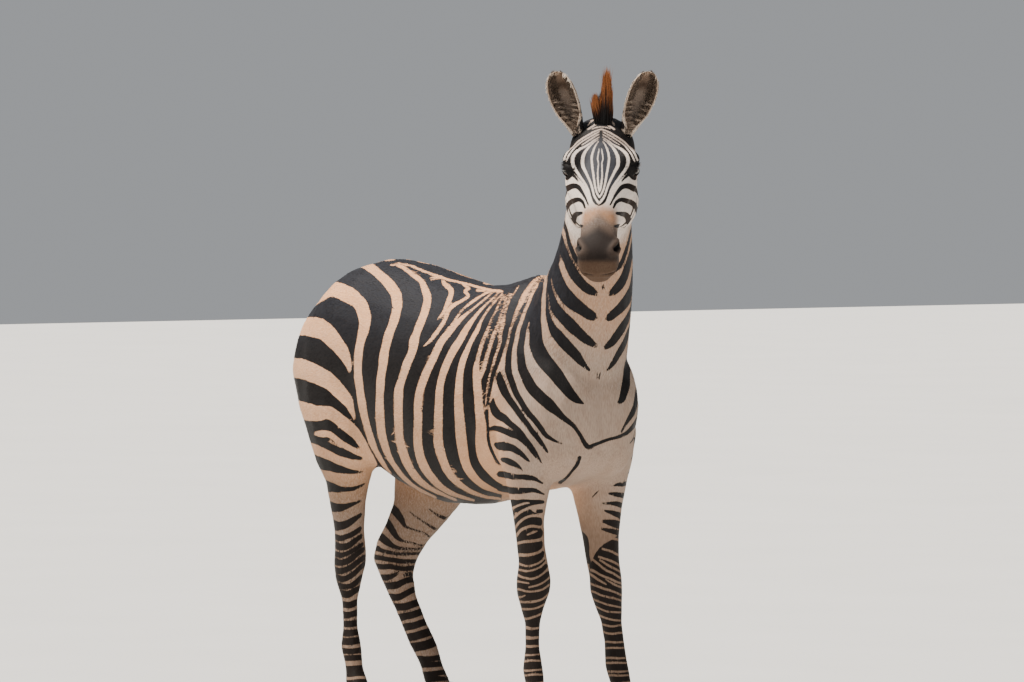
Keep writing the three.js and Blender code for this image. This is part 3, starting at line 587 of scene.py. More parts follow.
# The left hind leg: thin lines inside the thigh, broad ones at the hock
LEFT_HIND_MARKS = (
    dark("left_hind_0", (384, 500, 7), (392, 508, 8), (397, 513.6, 8), (401.6, 519.6, 6), (405, 526, 3.4),
         (413, 529.4, 2), (422, 532.4, 2), (433, 539, 2.4)),
    dark("left_hind_1", (409, 511.4, 1.2), (418, 518, 2), (430, 526, 2.6), (441, 532.4, 3.4)),
    dark("left_hind_2", (429, 509, 1.2), (440, 516.4, 3), (452, 521.6, 4.4)),
    dark("left_hind_3", (380, 514, 7), (386.6, 521.6, 7.6), (391.6, 529, 7), (396.6, 537, 5.2), (404, 541.4, 2.6),
         (415, 543.4, 2), (431, 547.6, 1.8)),
    dark("left_hind_4", (370, 528, 7.4), (379, 535.4, 8), (386, 541, 7.4), (393, 546, 4.8), (404, 548.6, 3),
         (416, 549, 2.6), (428, 546, 2)),
    dark("left_hind_5", (362, 544, 5.6), (374, 547.6, 6), (386, 551.6, 4), (401, 554, 3.4), (424, 553.4, 3.2)),
    dark("left_hind_6", (362, 554, 4.8), (378, 557.6, 5), (395, 560.4, 5), (409, 561.4, 4.2), (424, 560.6, 3.6)),
    dark("left_hind_7", (366, 564, 4.7), (378, 566.4, 5.4), (391, 567, 5.4), (405, 568.8, 5), (420, 566.6, 5.2)),
    dark("left_hind_8", (368, 577, 5.9), (380, 577.4, 6.4), (390, 576.8, 5.9), (397, 574, 3.1)),
    dark("left_hind_8b", (404, 575.4, 2.4), (411, 574, 4), (422, 573, 4.7)),
    dark("left_hind_9", (372, 586, 7.1), (384, 586.4, 7.6), (396, 585, 7.1), (406, 581, 5.9), (424, 576.6, 5.9)),
    dark("left_hind_10", (378, 596, 6.6), (388, 597, 7.1), (397, 597.4, 7.1), (406, 593.4, 5.9), (424, 584, 5.9)),
    dark("left_hind_11", (384, 606, 7.1), (394, 607, 7.6), (405, 606.8, 7.6), (414, 603.4, 7.1), (432, 598, 7.1)),
    dark("left_hind_12", (392, 618, 7.1), (403, 617, 7.6), (413, 614.6, 7.1), (424, 610.4, 7.1), (436, 606, 7.1)),
    dark("left_hind_13", (398, 628, 7.1), (410, 626.4, 7.6), (420, 623.6, 7.1), (438, 618, 7.1)),
    dark("left_hind_14", (404, 638, 7.1), (416, 636, 8.3), (428, 632.4, 8.3), (442, 628, 8.3)),
    dark("left_hind_15", (408, 648, 9.4), (422, 646, 9.4), (434, 642, 9.4), (446, 638, 9.4)),
    *rings("left_hind_low", (400.0, 450.0), (658.0, 666.0, 673.5, 680.5, 687.0), 5.4, 2.0),
    dark("left_hind_pastern", (396, 694, 10), (452, 694, 10)),
)

FOREHEAD_GROUND = (
    (600, 104), (590, 106), (584, 112), (579, 121), (573, 131), (566, 140), (557, 148), (549, 156), (548, 163),
    (556, 167.5), (566, 170), (573, 174), (579, 180), (584, 186), (587, 193), (589.5, 200), (594, 204.5), (598, 206),
    (604, 204), (640, 200), (640, 104),
)

HEAD_MARKS = (
    dark("crown_back", (650, 104, 9), (598, 104, 11), (588, 108, 8), (580, 112, 5)),
    pale("crown_1", (600, 113.6, 0.8), (595, 114.4, 1.1), (590.4, 116, 1.7), (586.8, 119.4, 1.5)),
    pale("crown_2", (606, 117.4, 1.1), (597, 118, 1.5), (593, 119.2, 1.8), (589.4, 121.8, 1.7), (586.8, 125.2, 1.3)),
    pale("crown_3", (606, 121.4, 1), (599.6, 122.2, 1.2), (595, 124, 1.5), (590.6, 126.8, 1.7), (586.6, 129.2, 1.5)),
    pale("crown_4", (600, 126.8, 0.8), (595, 127.4, 1), (591, 128.8, 0.8)),
    pale("brow_line_1", (602, 128.8, 0.9), (596.6, 130.2, 1.4), (591, 132.4, 1.6), (586, 135.4, 1.6),
         (581, 138.6, 1.6), (576.4, 142, 1.5), (572, 146.6, 1.2), (567.6, 150.2, 1.4), (564.6, 154.6, 1.6),
         (562.4, 160, 1.6)),
    pale("brow_line_2", (598, 131.8, 0.7), (593, 134.2, 1.1), (588, 137.2, 1.2), (583, 140.2, 1.2), (578.6, 143.2, 1.2),
         (574.4, 146.8, 1), (570.6, 151, 1.2), (567.4, 155.6, 1.5), (565, 161, 1.3)),
    pale("brow_line_3", (598, 134.2, 0.7), (593, 137, 1.1), (588, 140.2, 1.1), (584, 142.8, 1), (580.4, 145, 0.6)),
    pale("brow_line_4", (598, 137, 0.6), (592.6, 140.4, 1), (587.6, 144, 1.4), (583, 146.8, 1.8), (578.4, 149.2, 2.4),
         (574, 153, 3), (571.6, 157.6, 3.3), (571.2, 162, 3.3), (572.6, 167, 3), (575, 171, 2.7), (578.6, 176.2, 2.5),
         (583, 182.4, 2.2), (586.6, 189, 2.1), (588.6, 196, 2.1), (590.6, 203, 2.1)),
    pale("nose_line_3", (597, 139.6, 0.6), (592.8, 142.2, 1), (589, 145.6, 1.5), (585.6, 149.4, 2.3),
         (582.8, 154, 2.9), (581.2, 160, 3.3), (581.6, 166, 3.2), (584, 171, 2.7), (586.6, 176.4, 2.4),
         (589.4, 183, 2.2), (591.6, 190, 2), (593.6, 197, 1.9), (598, 203, 2.2), (603, 201, 2)),
    pale("nose_line_2", (597.4, 141.6, 0.6), (594.6, 145, 1.2), (592.4, 149.6, 1.7), (590.8, 155, 2), (590.4, 161, 2.1),
         (591, 167, 2.2), (592.2, 174, 2.1), (593, 181, 2), (594.4, 188.6, 1.8), (597, 195.4, 1.6), (600, 198.4, 1.8),
         (603, 196, 1.4)),
    pale("nose_line_1", (598, 148.6, 0.6), (597.2, 153.6, 1), (596.4, 159, 1.1), (597.2, 163, 1.1), (596.8, 168, 1.3),
         (596.6, 174, 1.5), (596.8, 182, 1.8), (597.6, 189, 1.7), (599.2, 193, 1.2)),
    pale("centre_line", (599.4, 176, 0.6), (599.4, 182, 1.2), (599.4, 188, 1.4), (599.4, 191.6, 0.9)),
    # The cheek: bars from the nose round to the jaw, and the jaw's own long lines
    dark("eye_corner", (560, 168, 3), (566, 170, 4), (572, 175.4, 3), (577, 181, 1.6)),
    dark("cheek_1", (520, 186, 6), (540, 190, 6.4), (554, 191, 6.4), (564, 189.4, 6), (570.4, 186.2, 5.8),
         (576, 186.6, 5), (580, 190.8, 3.6), (584, 197.6, 2.4), (587, 205, 1.6)),
    dark("cheek_2", (520, 202, 6), (540, 206, 6.4), (554, 207, 6), (564, 205, 5.6), (570.7, 201.6, 5.4),
         (577, 199.6, 4.6), (581.4, 202, 3.2), (583.8, 208, 1.8)),
    dark("cheek_3", (563, 219, 5), (569, 217, 5.6), (575, 214.4, 5.4), (580.4, 213, 3)),
    dark("cheek_3_back", (520, 219, 5), (536, 222, 5.4), (550, 223, 3)),
    dark("cheek_4", (566, 229, 5), (572, 227, 5.6), (577.4, 226, 5), (581, 226, 2.4)),
    dark("cheek_4_back", (524, 236, 4), (540, 239, 4.4), (552, 239, 2)),
    dark("cheek_0", (518, 170, 5), (536, 175, 5), (550, 178, 4), (562, 179, 2)),
    dark("cheek_00", (518, 152, 4), (536, 158, 4.4), (548, 162, 4), (558, 166, 3)),
    dark("jaw_line_1", (565.8, 203, 1.6), (566, 210, 2.6), (567.4, 219, 3.4), (570, 227, 3.2), (574, 234.6, 2.4)),
    dark("jaw_line_2", (562, 196, 1.2), (561, 208, 1.6), (561.6, 220, 1.8), (564.6, 233, 1.8), (570, 245, 1.8)),
    dark("jaw_1", (470, 176, 6), (484, 190, 6), (500, 205, 5), (516, 220, 4), (530, 236, 3)),
    dark("jaw_2", (470, 156, 6), (486, 168, 6), (500, 180, 5), (514, 192, 3)),
)


@dataclass(frozen=True)
class Markings:
    """Lays the dark and pale marks over any part of the flesh."""

    wander: float = 0.32  # how far the edges stray, in dots
    side_lean: float = 0.40  # how steeply the cheek's bars run down as they go back
    side_reach: float = 0.062  # half width of the head that the underside keeps when it is rolled out
    face_shift: float = 1.2  # dots that the face's marks stand to the right of the sheet's

    @staticmethod
    def _stray(points: np.ndarray, size: float, seed: float) -> np.ndarray:
        """Returns a smooth wandering value near -1 to 1 at each point, for waves of about the given size."""
        k = 2.0 * math.pi / size
        total = np.zeros(len(points))
        for i in range(4):
            angle = seed + 2.1 * i
            turn = np.array((math.cos(angle), math.sin(angle * 1.7), math.cos(angle * 0.6 + 1.0)))
            total += np.sin(points @ turn * k * (1.0 + 0.37 * i) + angle * 5.0)
        return total / 2.6

    def _outline(self, dots: np.ndarray, rows: np.ndarray) -> np.ndarray:
        """Returns, for each dot, how far across the outline of the chosen dots lies at its height."""
        step = 5.0
        bins = np.round(dots[:, 1] / step).astype(int)
        low = bins.min()
        edge = np.full(bins.max() - low + 1, np.inf)
        np.minimum.at(edge, bins[rows] - low, dots[rows, 0])
        known = np.flatnonzero(np.isfinite(edge))
        edge = np.interp(np.arange(len(edge)), known, edge[known])
        smooth = np.convolve(np.pad(edge, 2, mode="edge"), np.ones(5) / 5, mode="valid")
        return np.interp(dots[:, 1] / step - low, np.arange(len(smooth)), smooth)

    def _roll_head(self, points: np.ndarray) -> np.ndarray:
        """Lays the head on the sheet with its sides rolled out beside the face."""
        left, along, up = HEAD.local(points).T
        level = -0.012 - 0.050 * ease(0.10, 0.20, along)
        under = np.logaddexp(0.0, (level - up) / 0.006) * 0.006
        lifted = points + (self.side_lean * under)[:, None] * HEAD.axes()[2]
        inset = np.where(under > 0.03, np.maximum(self.side_reach - np.abs(left), 0.0), 0.0)
        lifted = lifted - inset[:, None] * HEAD.axes()[0]
        dots = SHEET.project(lifted)
        dots[:, 0] -= SHEET.scale * (under + inset) + self.face_shift
        return dots

    @staticmethod
    def _eye_depth(local: np.ndarray) -> np.ndarray:
        """Returns how far inside the dark skin round the eyes each place of the head lies, in dots."""
        reach = np.stack(((local[:, 1] - 0.155) / 0.032, (local[:, 2] - 0.022) / 0.020), axis=1)
        return np.where(np.abs(local[:, 0]) > 0.055, (1.0 - np.linalg.norm(reach, axis=1)) * 9.0, -30.0)

    def ink(self, points: np.ndarray, normals: np.ndarray) -> np.ndarray:
        """Measures how far inside the dark marks each point lies.

        Args:
            points: Places in the frame, one row each.
            normals: The surface's direction at each.

        Returns:
            Metres, above zero in the dark and below it in the pale.
        """
        right, turned, offset = MIDPLANE.to_right(points, normals)
        back = SHEET.axes()[2]
        raw = right - ORIGIN
        local = HEAD.local(right)
        head = ease(-0.03, 0.03, local[:, 1] + 0.28 * local[:, 2] + 0.005)
        head *= ease(-0.22, -0.17, local[:, 2] - 0.12 * local[:, 1])
        dots = SHEET.project(right)
        away = -(turned @ back)
        neck = (raw[:, 2] > 1.2) & (raw[:, 1] < -0.4) & (head < 0.5)
        rump = (raw[:, 1] > 0.42) & (raw[:, 2] > 0.4)
        for part in (neck, rump):
            if part.any():
                edge = self._outline(dots, np.flatnonzero(part))
                behind = part & (away > 0.0)
                dots[behind, 0] = np.minimum(2.0 * edge - dots[:, 0], dots[:, 0])[behind]
        side = np.sign(offset)
        stray = np.stack((self._stray(points, 0.11, 1.3), self._stray(points, 0.09, 4.0)), axis=1)
        uneven = np.stack((self._stray(points, 0.34, 2.0), self._stray(points, 0.28, 6.0)), axis=1)
        shift = self.wander * stray + (side > 0)[:, None] * 1.8 * uneven * (1.0 - head)[:, None]
        body = field_depth(BARREL_GROUND, dots + shift)
        for mark in BODY_MARKS:
            before = body.copy() if mark.lone else body
            mark.paint(body, dots + shift)
            body = np.where(side > 0.0, before, body) if mark.lone else body
        own = SHEET.project(points)
        facing = (side > 0.0) & (normals @ back > -0.1)
        for mark in LEFT_CHEST_MARKS:
            before = body.copy()
            mark.paint(body, own)
            body = np.where(facing, body, before)
        dorsal = ease(-0.34, -0.24, raw[:, 1]) * ease(0.3, 0.7, turned[:, 2]) * ease(0.9, 1.0, raw[:, 2])
        band = (0.019 + 0.004 * stray[:, 0] - np.abs(offset)) * SHEET.scale
        body = np.where(dorsal > 0.5, np.maximum(body, band), body)
        inner = ease(0.25, 0.85, turned[:, 0]) * ease(0.98, 0.86, raw[:, 2]) * ease(0.40, 0.55, raw[:, 2])
        body -= 9.0 * inner * (raw[:, 0] < 0.0)
        poll = (local[:, 1] < 0.06) & (local[:, 1] > -0.09) & (local[:, 2] > -0.03) & (np.abs(local[:, 0]) < 0.075)
        bars = np.abs(np.sin((local[:, 1] + 0.35 * np.abs(local[:, 0])) * 130.0)) * 3.4 - 0.9
        body = np.where(poll, bars, body)
        total = body
        if head.any():
            rolled = self._roll_head(right) + 0.4 * shift
            face = field_depth(FOREHEAD_GROUND, rolled)
            for mark in HEAD_MARKS:
                mark.paint(face, rolled)
            face = np.maximum(face, self._eye_depth(local))
            total = body * (1.0 - head) + face * head
        total = self._left_legs(points, normals, total, stray)
        return total / SHEET.scale

    def _left_legs(self, points: np.ndarray, normals: np.ndarray, ink: np.ndarray, stray: np.ndarray) -> np.ndarray:
        """Lays the left legs' own marks, as they stand otherwise than the right ones."""
        raw = points - ORIGIN
        dots = SHEET.project(points) + self.wander * stray
        left = raw[:, 0] > 0.0
        fore = left * (raw[:, 1] < -0.1) * ease(0.72, 0.64, raw[:, 2])
        thigh = 0.74 - 0.10 * ease(-0.2, 0.5, normals[:, 0])
        hind = left * (raw[:, 1] > 0.2) * ease(0.0, 1.0, (thigh - raw[:, 2]) / 0.08)
        outside = ease(0.1, 0.7, normals[:, 0]) * ease(0.30, 0.42, raw[:, 2])
        for share, marks, edge in ((fore, LEFT_FORE_MARKS, 612.0), (hind, LEFT_HIND_MARKS, 396.0)):
            rows = np.flatnonzero(share > 0.0)
            if not len(rows):
                continue
            at = dots[rows].copy()
            if marks is LEFT_FORE_MARKS:
                at[:, 0] = np.maximum(at[:, 0], at[:, 0] + (edge - at[:, 0]) * outside[rows])
            else:
                at[:, 0] = np.minimum(at[:, 0], at[:, 0] + (edge - at[:, 0]) * outside[rows])
            own = np.full(len(rows), -30.0)
            for mark in marks:
                mark.paint(own, at)
            ink[rows] = ink[rows] * (1.0 - share[rows]) + own * share[rows]
        return ink


MARKINGS = Markings()


def select_only(*objects: bpy.types.Object) -> None:
    """Selects these objects alone and makes the last of them active."""
    bpy.ops.object.select_all(action="DESELECT")
    for item in objects:
        item.select_set(True)
    bpy.context.view_layer.objects.active = objects[-1]


def apply_modifier(item: bpy.types.Object, kind: str, **settings: object) -> None:
    """Adds one modifier to an object and applies it.

    Args:
        item: The object.
        kind: The modifier's type.
        settings: Its properties.
    """
    modifier = item.modifiers.new(kind.title(), kind)
    for key, value in settings.items():
        setattr(modifier, key, value)
    select_only(item)
    bpy.ops.object.modifier_apply(modifier=modifier.name)


def make_object(name: str, verts: np.ndarray, faces: list[tuple[int, ...]] | np.ndarray) -> bpy.types.Object:
    """Makes a smooth-shaded mesh object at the origin.

    Args:
        name: The object's name.
        verts: Places in the frame.
        faces: The corners of each face.

    Returns:
        The new object, linked to the scene.
    """
    mesh = bpy.data.meshes.new(name)
    mesh.from_pydata(verts.tolist(), [], [tuple(int(i) for i in face) for face in faces])
    mesh.update()
    mesh.shade_smooth()
    item = bpy.data.objects.new(name, mesh)
    bpy.context.scene.collection.objects.link(item)
    return item


def coordinates(mesh: bpy.types.Mesh) -> np.ndarray:
    """Returns a mesh's points, one row each."""
    out = np.empty(len(mesh.vertices) * 3)
    mesh.vertices.foreach_get("co", out)
    return out.reshape(-1, 3)


def directions(mesh: bpy.types.Mesh) -> np.ndarray:
    """Returns the surface's direction at each point of a mesh."""
    out = np.empty(len(mesh.vertices) * 3, dtype=np.float32)
    mesh.vertex_normals.foreach_get("vector", out)
    return out.reshape(-1, 3).astype(float)


def move_points(mesh: bpy.types.Mesh, points: np.ndarray) -> None:
    """Puts a mesh's points at new places."""
    mesh.vertices.foreach_set("co", points.astype(np.float32).ravel())
    mesh.update()


def relax(mesh: bpy.types.Mesh, rounds: int, share: np.ndarray | float = 1.0) -> None:
    """Smooths a mesh without shrinking it.

    Args:
        mesh: The mesh.
        rounds: How many times each point is drawn to its neighbours and back.
        share: How strongly, for each point.
    """
    edges = np.empty(len(mesh.edges) * 2, dtype=int)
    mesh.edges.foreach_get("vertices", edges)
    edges = edges.reshape(-1, 2)
    points = coordinates(mesh)
    count = np.maximum(np.bincount(edges.ravel(), minlength=len(points)), 1)[:, None]
    weight = np.broadcast_to(np.asarray(share, dtype=float), (len(points),))[:, None]
    for _ in range(rounds):
        for pull in (0.5, -0.51):
            total = np.empty_like(points)
            for axis in range(3):
                total[:, axis] = np.bincount(edges[:, 0], points[edges[:, 1], axis], len(points)) + np.bincount(
                    edges[:, 1], points[edges[:, 0], axis], len(points)
                )
            points = points + pull * weight * (total / count - points)
    move_points(mesh, points)


def refine(mesh: bpy.types.Mesh, chosen: np.ndarray) -> None:
    """Splits the faces whose points are all chosen into four.

    Args:
        mesh: The mesh, changed in place.
        chosen: Whether each point is chosen.
    """
    bm = bmesh.new()
    bm.from_mesh(mesh)
    bm.verts.ensure_lookup_table()
    faces = [face for face in bm.faces if all(chosen[v.index] for v in face.verts)]
    edges = list({edge for face in faces for edge in face.edges})
    bmesh.ops.subdivide_edges(bm, edges=edges, cuts=1, use_grid_fill=True, smooth=0.6)
    bm.to_mesh(mesh)
    bm.free()
    mesh.update()


def cut_at_marks(mesh: bpy.types.Mesh, least: float = 0.08) -> None:
    """Cuts the skin's faces along the edges of its marks, so that the edges run clean.

    Args:
        mesh: The mesh, changed in place.
        least: The shortest piece that may be cut off an edge, as a share of it.
    """
    ink = MARKINGS.ink(coordinates(mesh), directions(mesh))
    bm = bmesh.new()
    bm.from_mesh(mesh)
    shares = {}
    for edge in bm.edges:
        a, b = (ink[vert.index] for vert in edge.verts)
        if a * b < 0.0 and least < a / (a - b) < 1.0 - least:
            shares[edge] = a / (a - b)
    bmesh.ops.subdivide_edges(bm, edges=list(shares), cuts=1, edge_percents=shares, quad_corner_type="PATH")
    bm.to_mesh(mesh)
    bm.free()
    mesh.update()


@dataclass(frozen=True)
class Swell:
    """A rise or hollow of the flesh: where it is, how wide along each axis, and how far it stands out."""

    at: Triple
    radii: Triple
    height: float
    both: bool = True

    def lift(self, points: np.ndarray) -> np.ndarray:
        """Returns how far each point, given from the figure's own origin, is lifted."""
        total = np.zeros(len(points))
        for side in (1.0, -1.0) if self.both else (1.0,):
            gap = (points - np.array(self.at) * np.array((side, 1.0, 1.0))) / np.array(self.radii)
            total += self.height * np.exp(-np.sum(gap * gap, axis=1))
        return total


@dataclass
class Skin:
    """The zebra's one skin, from lips to pasterns, and the ears that grow from it."""

    flesh: tuple[str, ...] = ("head", "neck", "trunk", "tail", "foreleg_left", "foreleg_right", "hindleg_left",
                              "hindleg_right")
    ears: tuple[str, ...] = ("ear_left", "ear_right")
    overlap: float = 0.0014
    grain: float = 0.0115
    most: int = 188_000  # triangles kept by the thinning
    head_share: float = 0.99999  # how freely the head is thinned, where 1 is as freely as the trunk
    edge_width: float = 0.0005  # of the marks' edges, which are thinned last
    body_swells: tuple[Swell, ...] = (
        Swell((0.205, -0.300, 1.060), (0.060, 0.050, 0.150), 0.007),  # ridge of the shoulder blade
        Swell((0.200, -0.215, 1.000), (0.060, 0.030, 0.190), -0.006),  # hollow behind it
        Swell((0.165, -0.400, 0.900), (0.060, 0.060, 0.080), 0.008),  # point of the shoulder
        Swell((0.175, -0.330, 0.800), (0.050, 0.035, 0.070), 0.007),  # elbow
        Swell((0.190, -0.270, 0.760), (0.060, 0.030, 0.060), -0.006),
        Swell((0.000, -0.630, 0.860), (0.020, 0.060, 0.130), -0.012, both=False),  # furrow between the breasts
        Swell((0.210, 0.300, 0.950), (0.060, 0.060, 0.150), -0.009),  # flank
        Swell((0.190, 0.330, 0.760), (0.060, 0.040, 0.060), 0.007),  # stifle
        Swell((0.180, 0.470, 1.150), (0.060, 0.070, 0.050), 0.007),  # point of the hip
        Swell((0.200, 0.560, 0.950), (0.060, 0.030, 0.160), -0.005),  # groove behind the thigh
    )
    object: bpy.types.Object = field(init=False)

    def build(self) -> bpy.types.Object:
        """Builds the skin over the flesh and returns it."""
        parts = [self._thick_copy(name) for name in self.flesh]
        select_only(*parts)
        bpy.ops.object.join()
        self.object = bpy.context.view_layer.objects.active
        self.object.name = "zebra_skin"
        self.object.data.name = "zebra_skin"
        apply_modifier(self.object, "REMESH", mode="VOXEL", voxel_size=self.grain)
        mesh = self.object.data
        relax(mesh, 7)
        self._offset(-(self.overlap + COAT_DEPTH))
        self._lift_body()
        refine(mesh, self._fine(mesh))
        relax(mesh, 4)
        refine(mesh, self._finest(mesh))
        relax(mesh, 2)
        refine(mesh, self._rims(mesh))
        HeadForms().shape(mesh)
        refine(mesh, self._marks(mesh))
        cut_at_marks(mesh)
        self._thin()
        return self.object

    def _thin(self) -> None:
        """Thins the skin: first where it is plain, then on the head, and last along the edges of its marks."""
        mesh = self.object.data
        points = coordinates(mesh)
        head = on_head(points)
        edge = np.abs(MARKINGS.ink(points, directions(mesh))) < self.edge_width
        group = self.object.vertex_groups.new(name="plain")
        group.add(np.flatnonzero(~head & ~edge).tolist(), 1.0, "REPLACE")
        group.add(np.flatnonzero(head & ~edge).tolist(), self.head_share, "REPLACE")
        mesh.calc_loop_triangles()
        ratio = self.most / len(mesh.loop_triangles)
        if ratio < 1.0:
            apply_modifier(self.object, "DECIMATE", decimate_type="COLLAPSE", ratio=ratio, vertex_group=group.name,
                           vertex_group_factor=1.0)
        self.object.vertex_groups.clear()

    def _thick_copy(self, name: str) -> bpy.types.Object:
        """Copies a solid of flesh, grown so that it runs into its neighbours."""
        bm = bmesh.new()
        bm.from_mesh(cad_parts[name].data)
        bmesh.ops.remove_doubles(bm, verts=bm.verts, dist=1e-5)
        bm.normal_update()
        for vert in bm.verts:
            vert.co += vert.normal * self.overlap
        mesh = bpy.data.meshes.new(name + "_flesh")
        bm.to_mesh(mesh)
        bm.free()
        item = bpy.data.objects.new(name + "_flesh", mesh)
        bpy.context.scene.collection.objects.link(item)
        return item

    def _offset(self, amount: float) -> None:
        """Moves the whole skin out along its own direction."""
        mesh = self.object.data
        move_points(mesh, coordinates(mesh) + directions(mesh) * amount)

    def _lift_body(self) -> None:
        """Raises the muscles and bones of trunk and legs."""
        mesh = self.object.data
        points = coordinates(mesh)
        lift = sum(swell.lift(points - ORIGIN) for swell in self.body_swells)
        move_points(mesh, points + directions(mesh) * lift[:, None])

    @staticmethod
    def _fine(mesh: bpy.types.Mesh) -> np.ndarray:
        """Chooses the head, the legs and the narrow marks of the shoulder's two sides."""
        points = coordinates(mesh)
        raw = points - ORIGIN
        shoulder = (raw[:, 2] > 0.60) & (raw[:, 1] < 0.10) & (raw[:, 2] < 1.30) & (raw[:, 0] < 0.30)
        shoulder &= (raw[:, 2] > 0.95) | (raw[:, 1] < -0.20)
        return on_head(points) | (raw[:, 2] < LEG_TOP) | shoulder

    @staticmethod
    def _finest(mesh: bpy.types.Mesh) -> np.ndarray:
        """Chooses the face, with its narrow lines, eyes, nostrils and lips."""
        left, along, up = HEAD.local(coordinates(mesh)).T
        front = (up > 0.012) & (along > 0.02) & (along < 0.36)
        eye = (np.abs(np.abs(left) - EYE[0]) < 0.035) & (np.abs(along - EYE[1]) < 0.05) & (np.abs(up - 0.02) < 0.05)
        muzzle = (along > 0.36) & (up > -0.075)
        return (front | eye | muzzle) & (up > -0.1) & (along > 0.0)

    @staticmethod
    def _marks(mesh: bpy.types.Mesh) -> np.ndarray:
        """Chooses the surroundings of the narrow marks of shoulder and legs."""
        points = coordinates(mesh)
        raw = points - ORIGIN
        near = np.abs(MARKINGS.ink(points, directions(mesh))) < 0.005
        shoulder = (raw[:, 2] > 0.90) & (raw[:, 1] < 0.10) & (raw[:, 2] < 1.32) & (raw[:, 0] < 0.0)
        return near & ((raw[:, 2] < LEG_TOP) | shoulder)

    @staticmethod
    def _rims(mesh: bpy.types.Mesh) -> np.ndarray:
        """Chooses the skin round the nostrils, the lips and the eyes."""
        local = HEAD.local(coordinates(mesh))
        local[:, 0] = np.abs(local[:, 0])
        forms = HeadForms()
        close = (forms.gap(local, forms.nostril) < 0.019) | (forms.gap(local, forms.mouth) < 0.010)
        eye = np.linalg.norm(local - EYE, axis=1)
        return close | (eye < 0.030)


@dataclass(frozen=True)
class HeadForms:
    """The forms of the head that the skin carries: brow, crest of the cheek, nostrils, lips and chin."""

    # left, along and up of the middle, its radii, and the height
    swells: tuple[tuple[float, float, float, float, float, float, float], ...] = (
        (0.094, 0.094, 0.040, 0.030, 0.026, 0.034, -0.006),  # the brow's upper side
        (0.088, 0.132, 0.044, 0.026, 0.020, 0.016, 0.004),  # its lower edge, over the eye
        (0.082, 0.200, 0.000, 0.025, 0.055, 0.012, 0.006),  # crest below the eye
        (0.085, 0.235, -0.035, 0.030, 0.060, 0.020, -0.005),
        (0.060, 0.300, 0.015, 0.022, 0.060, 0.030, -0.006),  # hollow beside the nose bone
        (0.000, 0.290, 0.050, 0.022, 0.110, 0.030, 0.003),  # nose bone
        (0.092, 0.150, -0.090, 0.030, 0.050, 0.050, 0.005),  # round of the jaw
        (0.070, 0.085, 0.045, 0.020, 0.030, 0.025, -0.006),  # hollow over the eye
        (0.030, 0.486, -0.020, 0.030, 0.020, 0.020, 0.003),  # upper lip
        (0.000, 0.470, -0.062, 0.034, 0.024, 0.018, 0.004),  # lower lip
    )
    nostril: tuple[Triple, ...] = (
        (0.033, 0.456, 0.012), (0.043, 0.448, 0.018), (0.049, 0.434, 0.017), (0.051, 0.418, 0.008),
    )
    mouth: tuple[Triple, ...] = (
        (0.000, 0.505, -0.024), (0.025, 0.499, -0.025), (0.042, 0.480, -0.028), (0.053, 0.450, -0.030),
        (0.055, 0.420, -0.031), (0.053, 0.392, -0.032),
    )

    @staticmethod
    def gap(local: np.ndarray, path: tuple[Triple, ...]) -> np.ndarray:
        """Returns how far each point is from a line through the given places."""
        best = np.full(len(local), 1e9)
        for a, b in zip(np.array(path), np.array(path)[1:]):
            best = np.minimum(best, nearest_on(local, a, b)[1])
        return best

    def shape(self, mesh: bpy.types.Mesh) -> None:
        """Shapes the head of the skin in place."""
        points = coordinates(mesh)
        local = HEAD.local(points)
        local[:, 0] = np.abs(local[:, 0])
        head = ease(-0.02, 0.04, local[:, 1]) * (local[:, 2] > -0.24)
        lift = np.zeros(len(points))
        for left, along, up, wide, long, high, height in self.swells:
            gap = (local - (left, along, up)) / (wide, long, high)
            lift += height * np.exp(-np.sum(gap * gap, axis=1))
        slit = self.gap(local, self.nostril)
        lift += 0.0045 * np.exp(-(((slit - 0.0125) / 0.006) ** 2)) - 0.019 * (1.0 - ease(0.003, 0.0100, slit))
        lips = self.gap(local, self.mouth)
        lift += 0.0025 * np.exp(-(((lips - 0.009) / 0.005) ** 2)) - 0.0055 * (1.0 - ease(0.0005, 0.0048, lips))
        move_points(mesh, points + directions(mesh) * (lift * head)[:, None])


def tube_faces(rows: int, around: int) -> list[tuple[int, ...]]:
    """Returns the faces between rows of points that each run once round."""
    faces = []
    for start in range(0, (rows - 1) * around, around):
        for k in range(around):
            a, b = start + k, start + (k + 1) % around
            faces.append((a, b, b + around, a + around))
    return faces


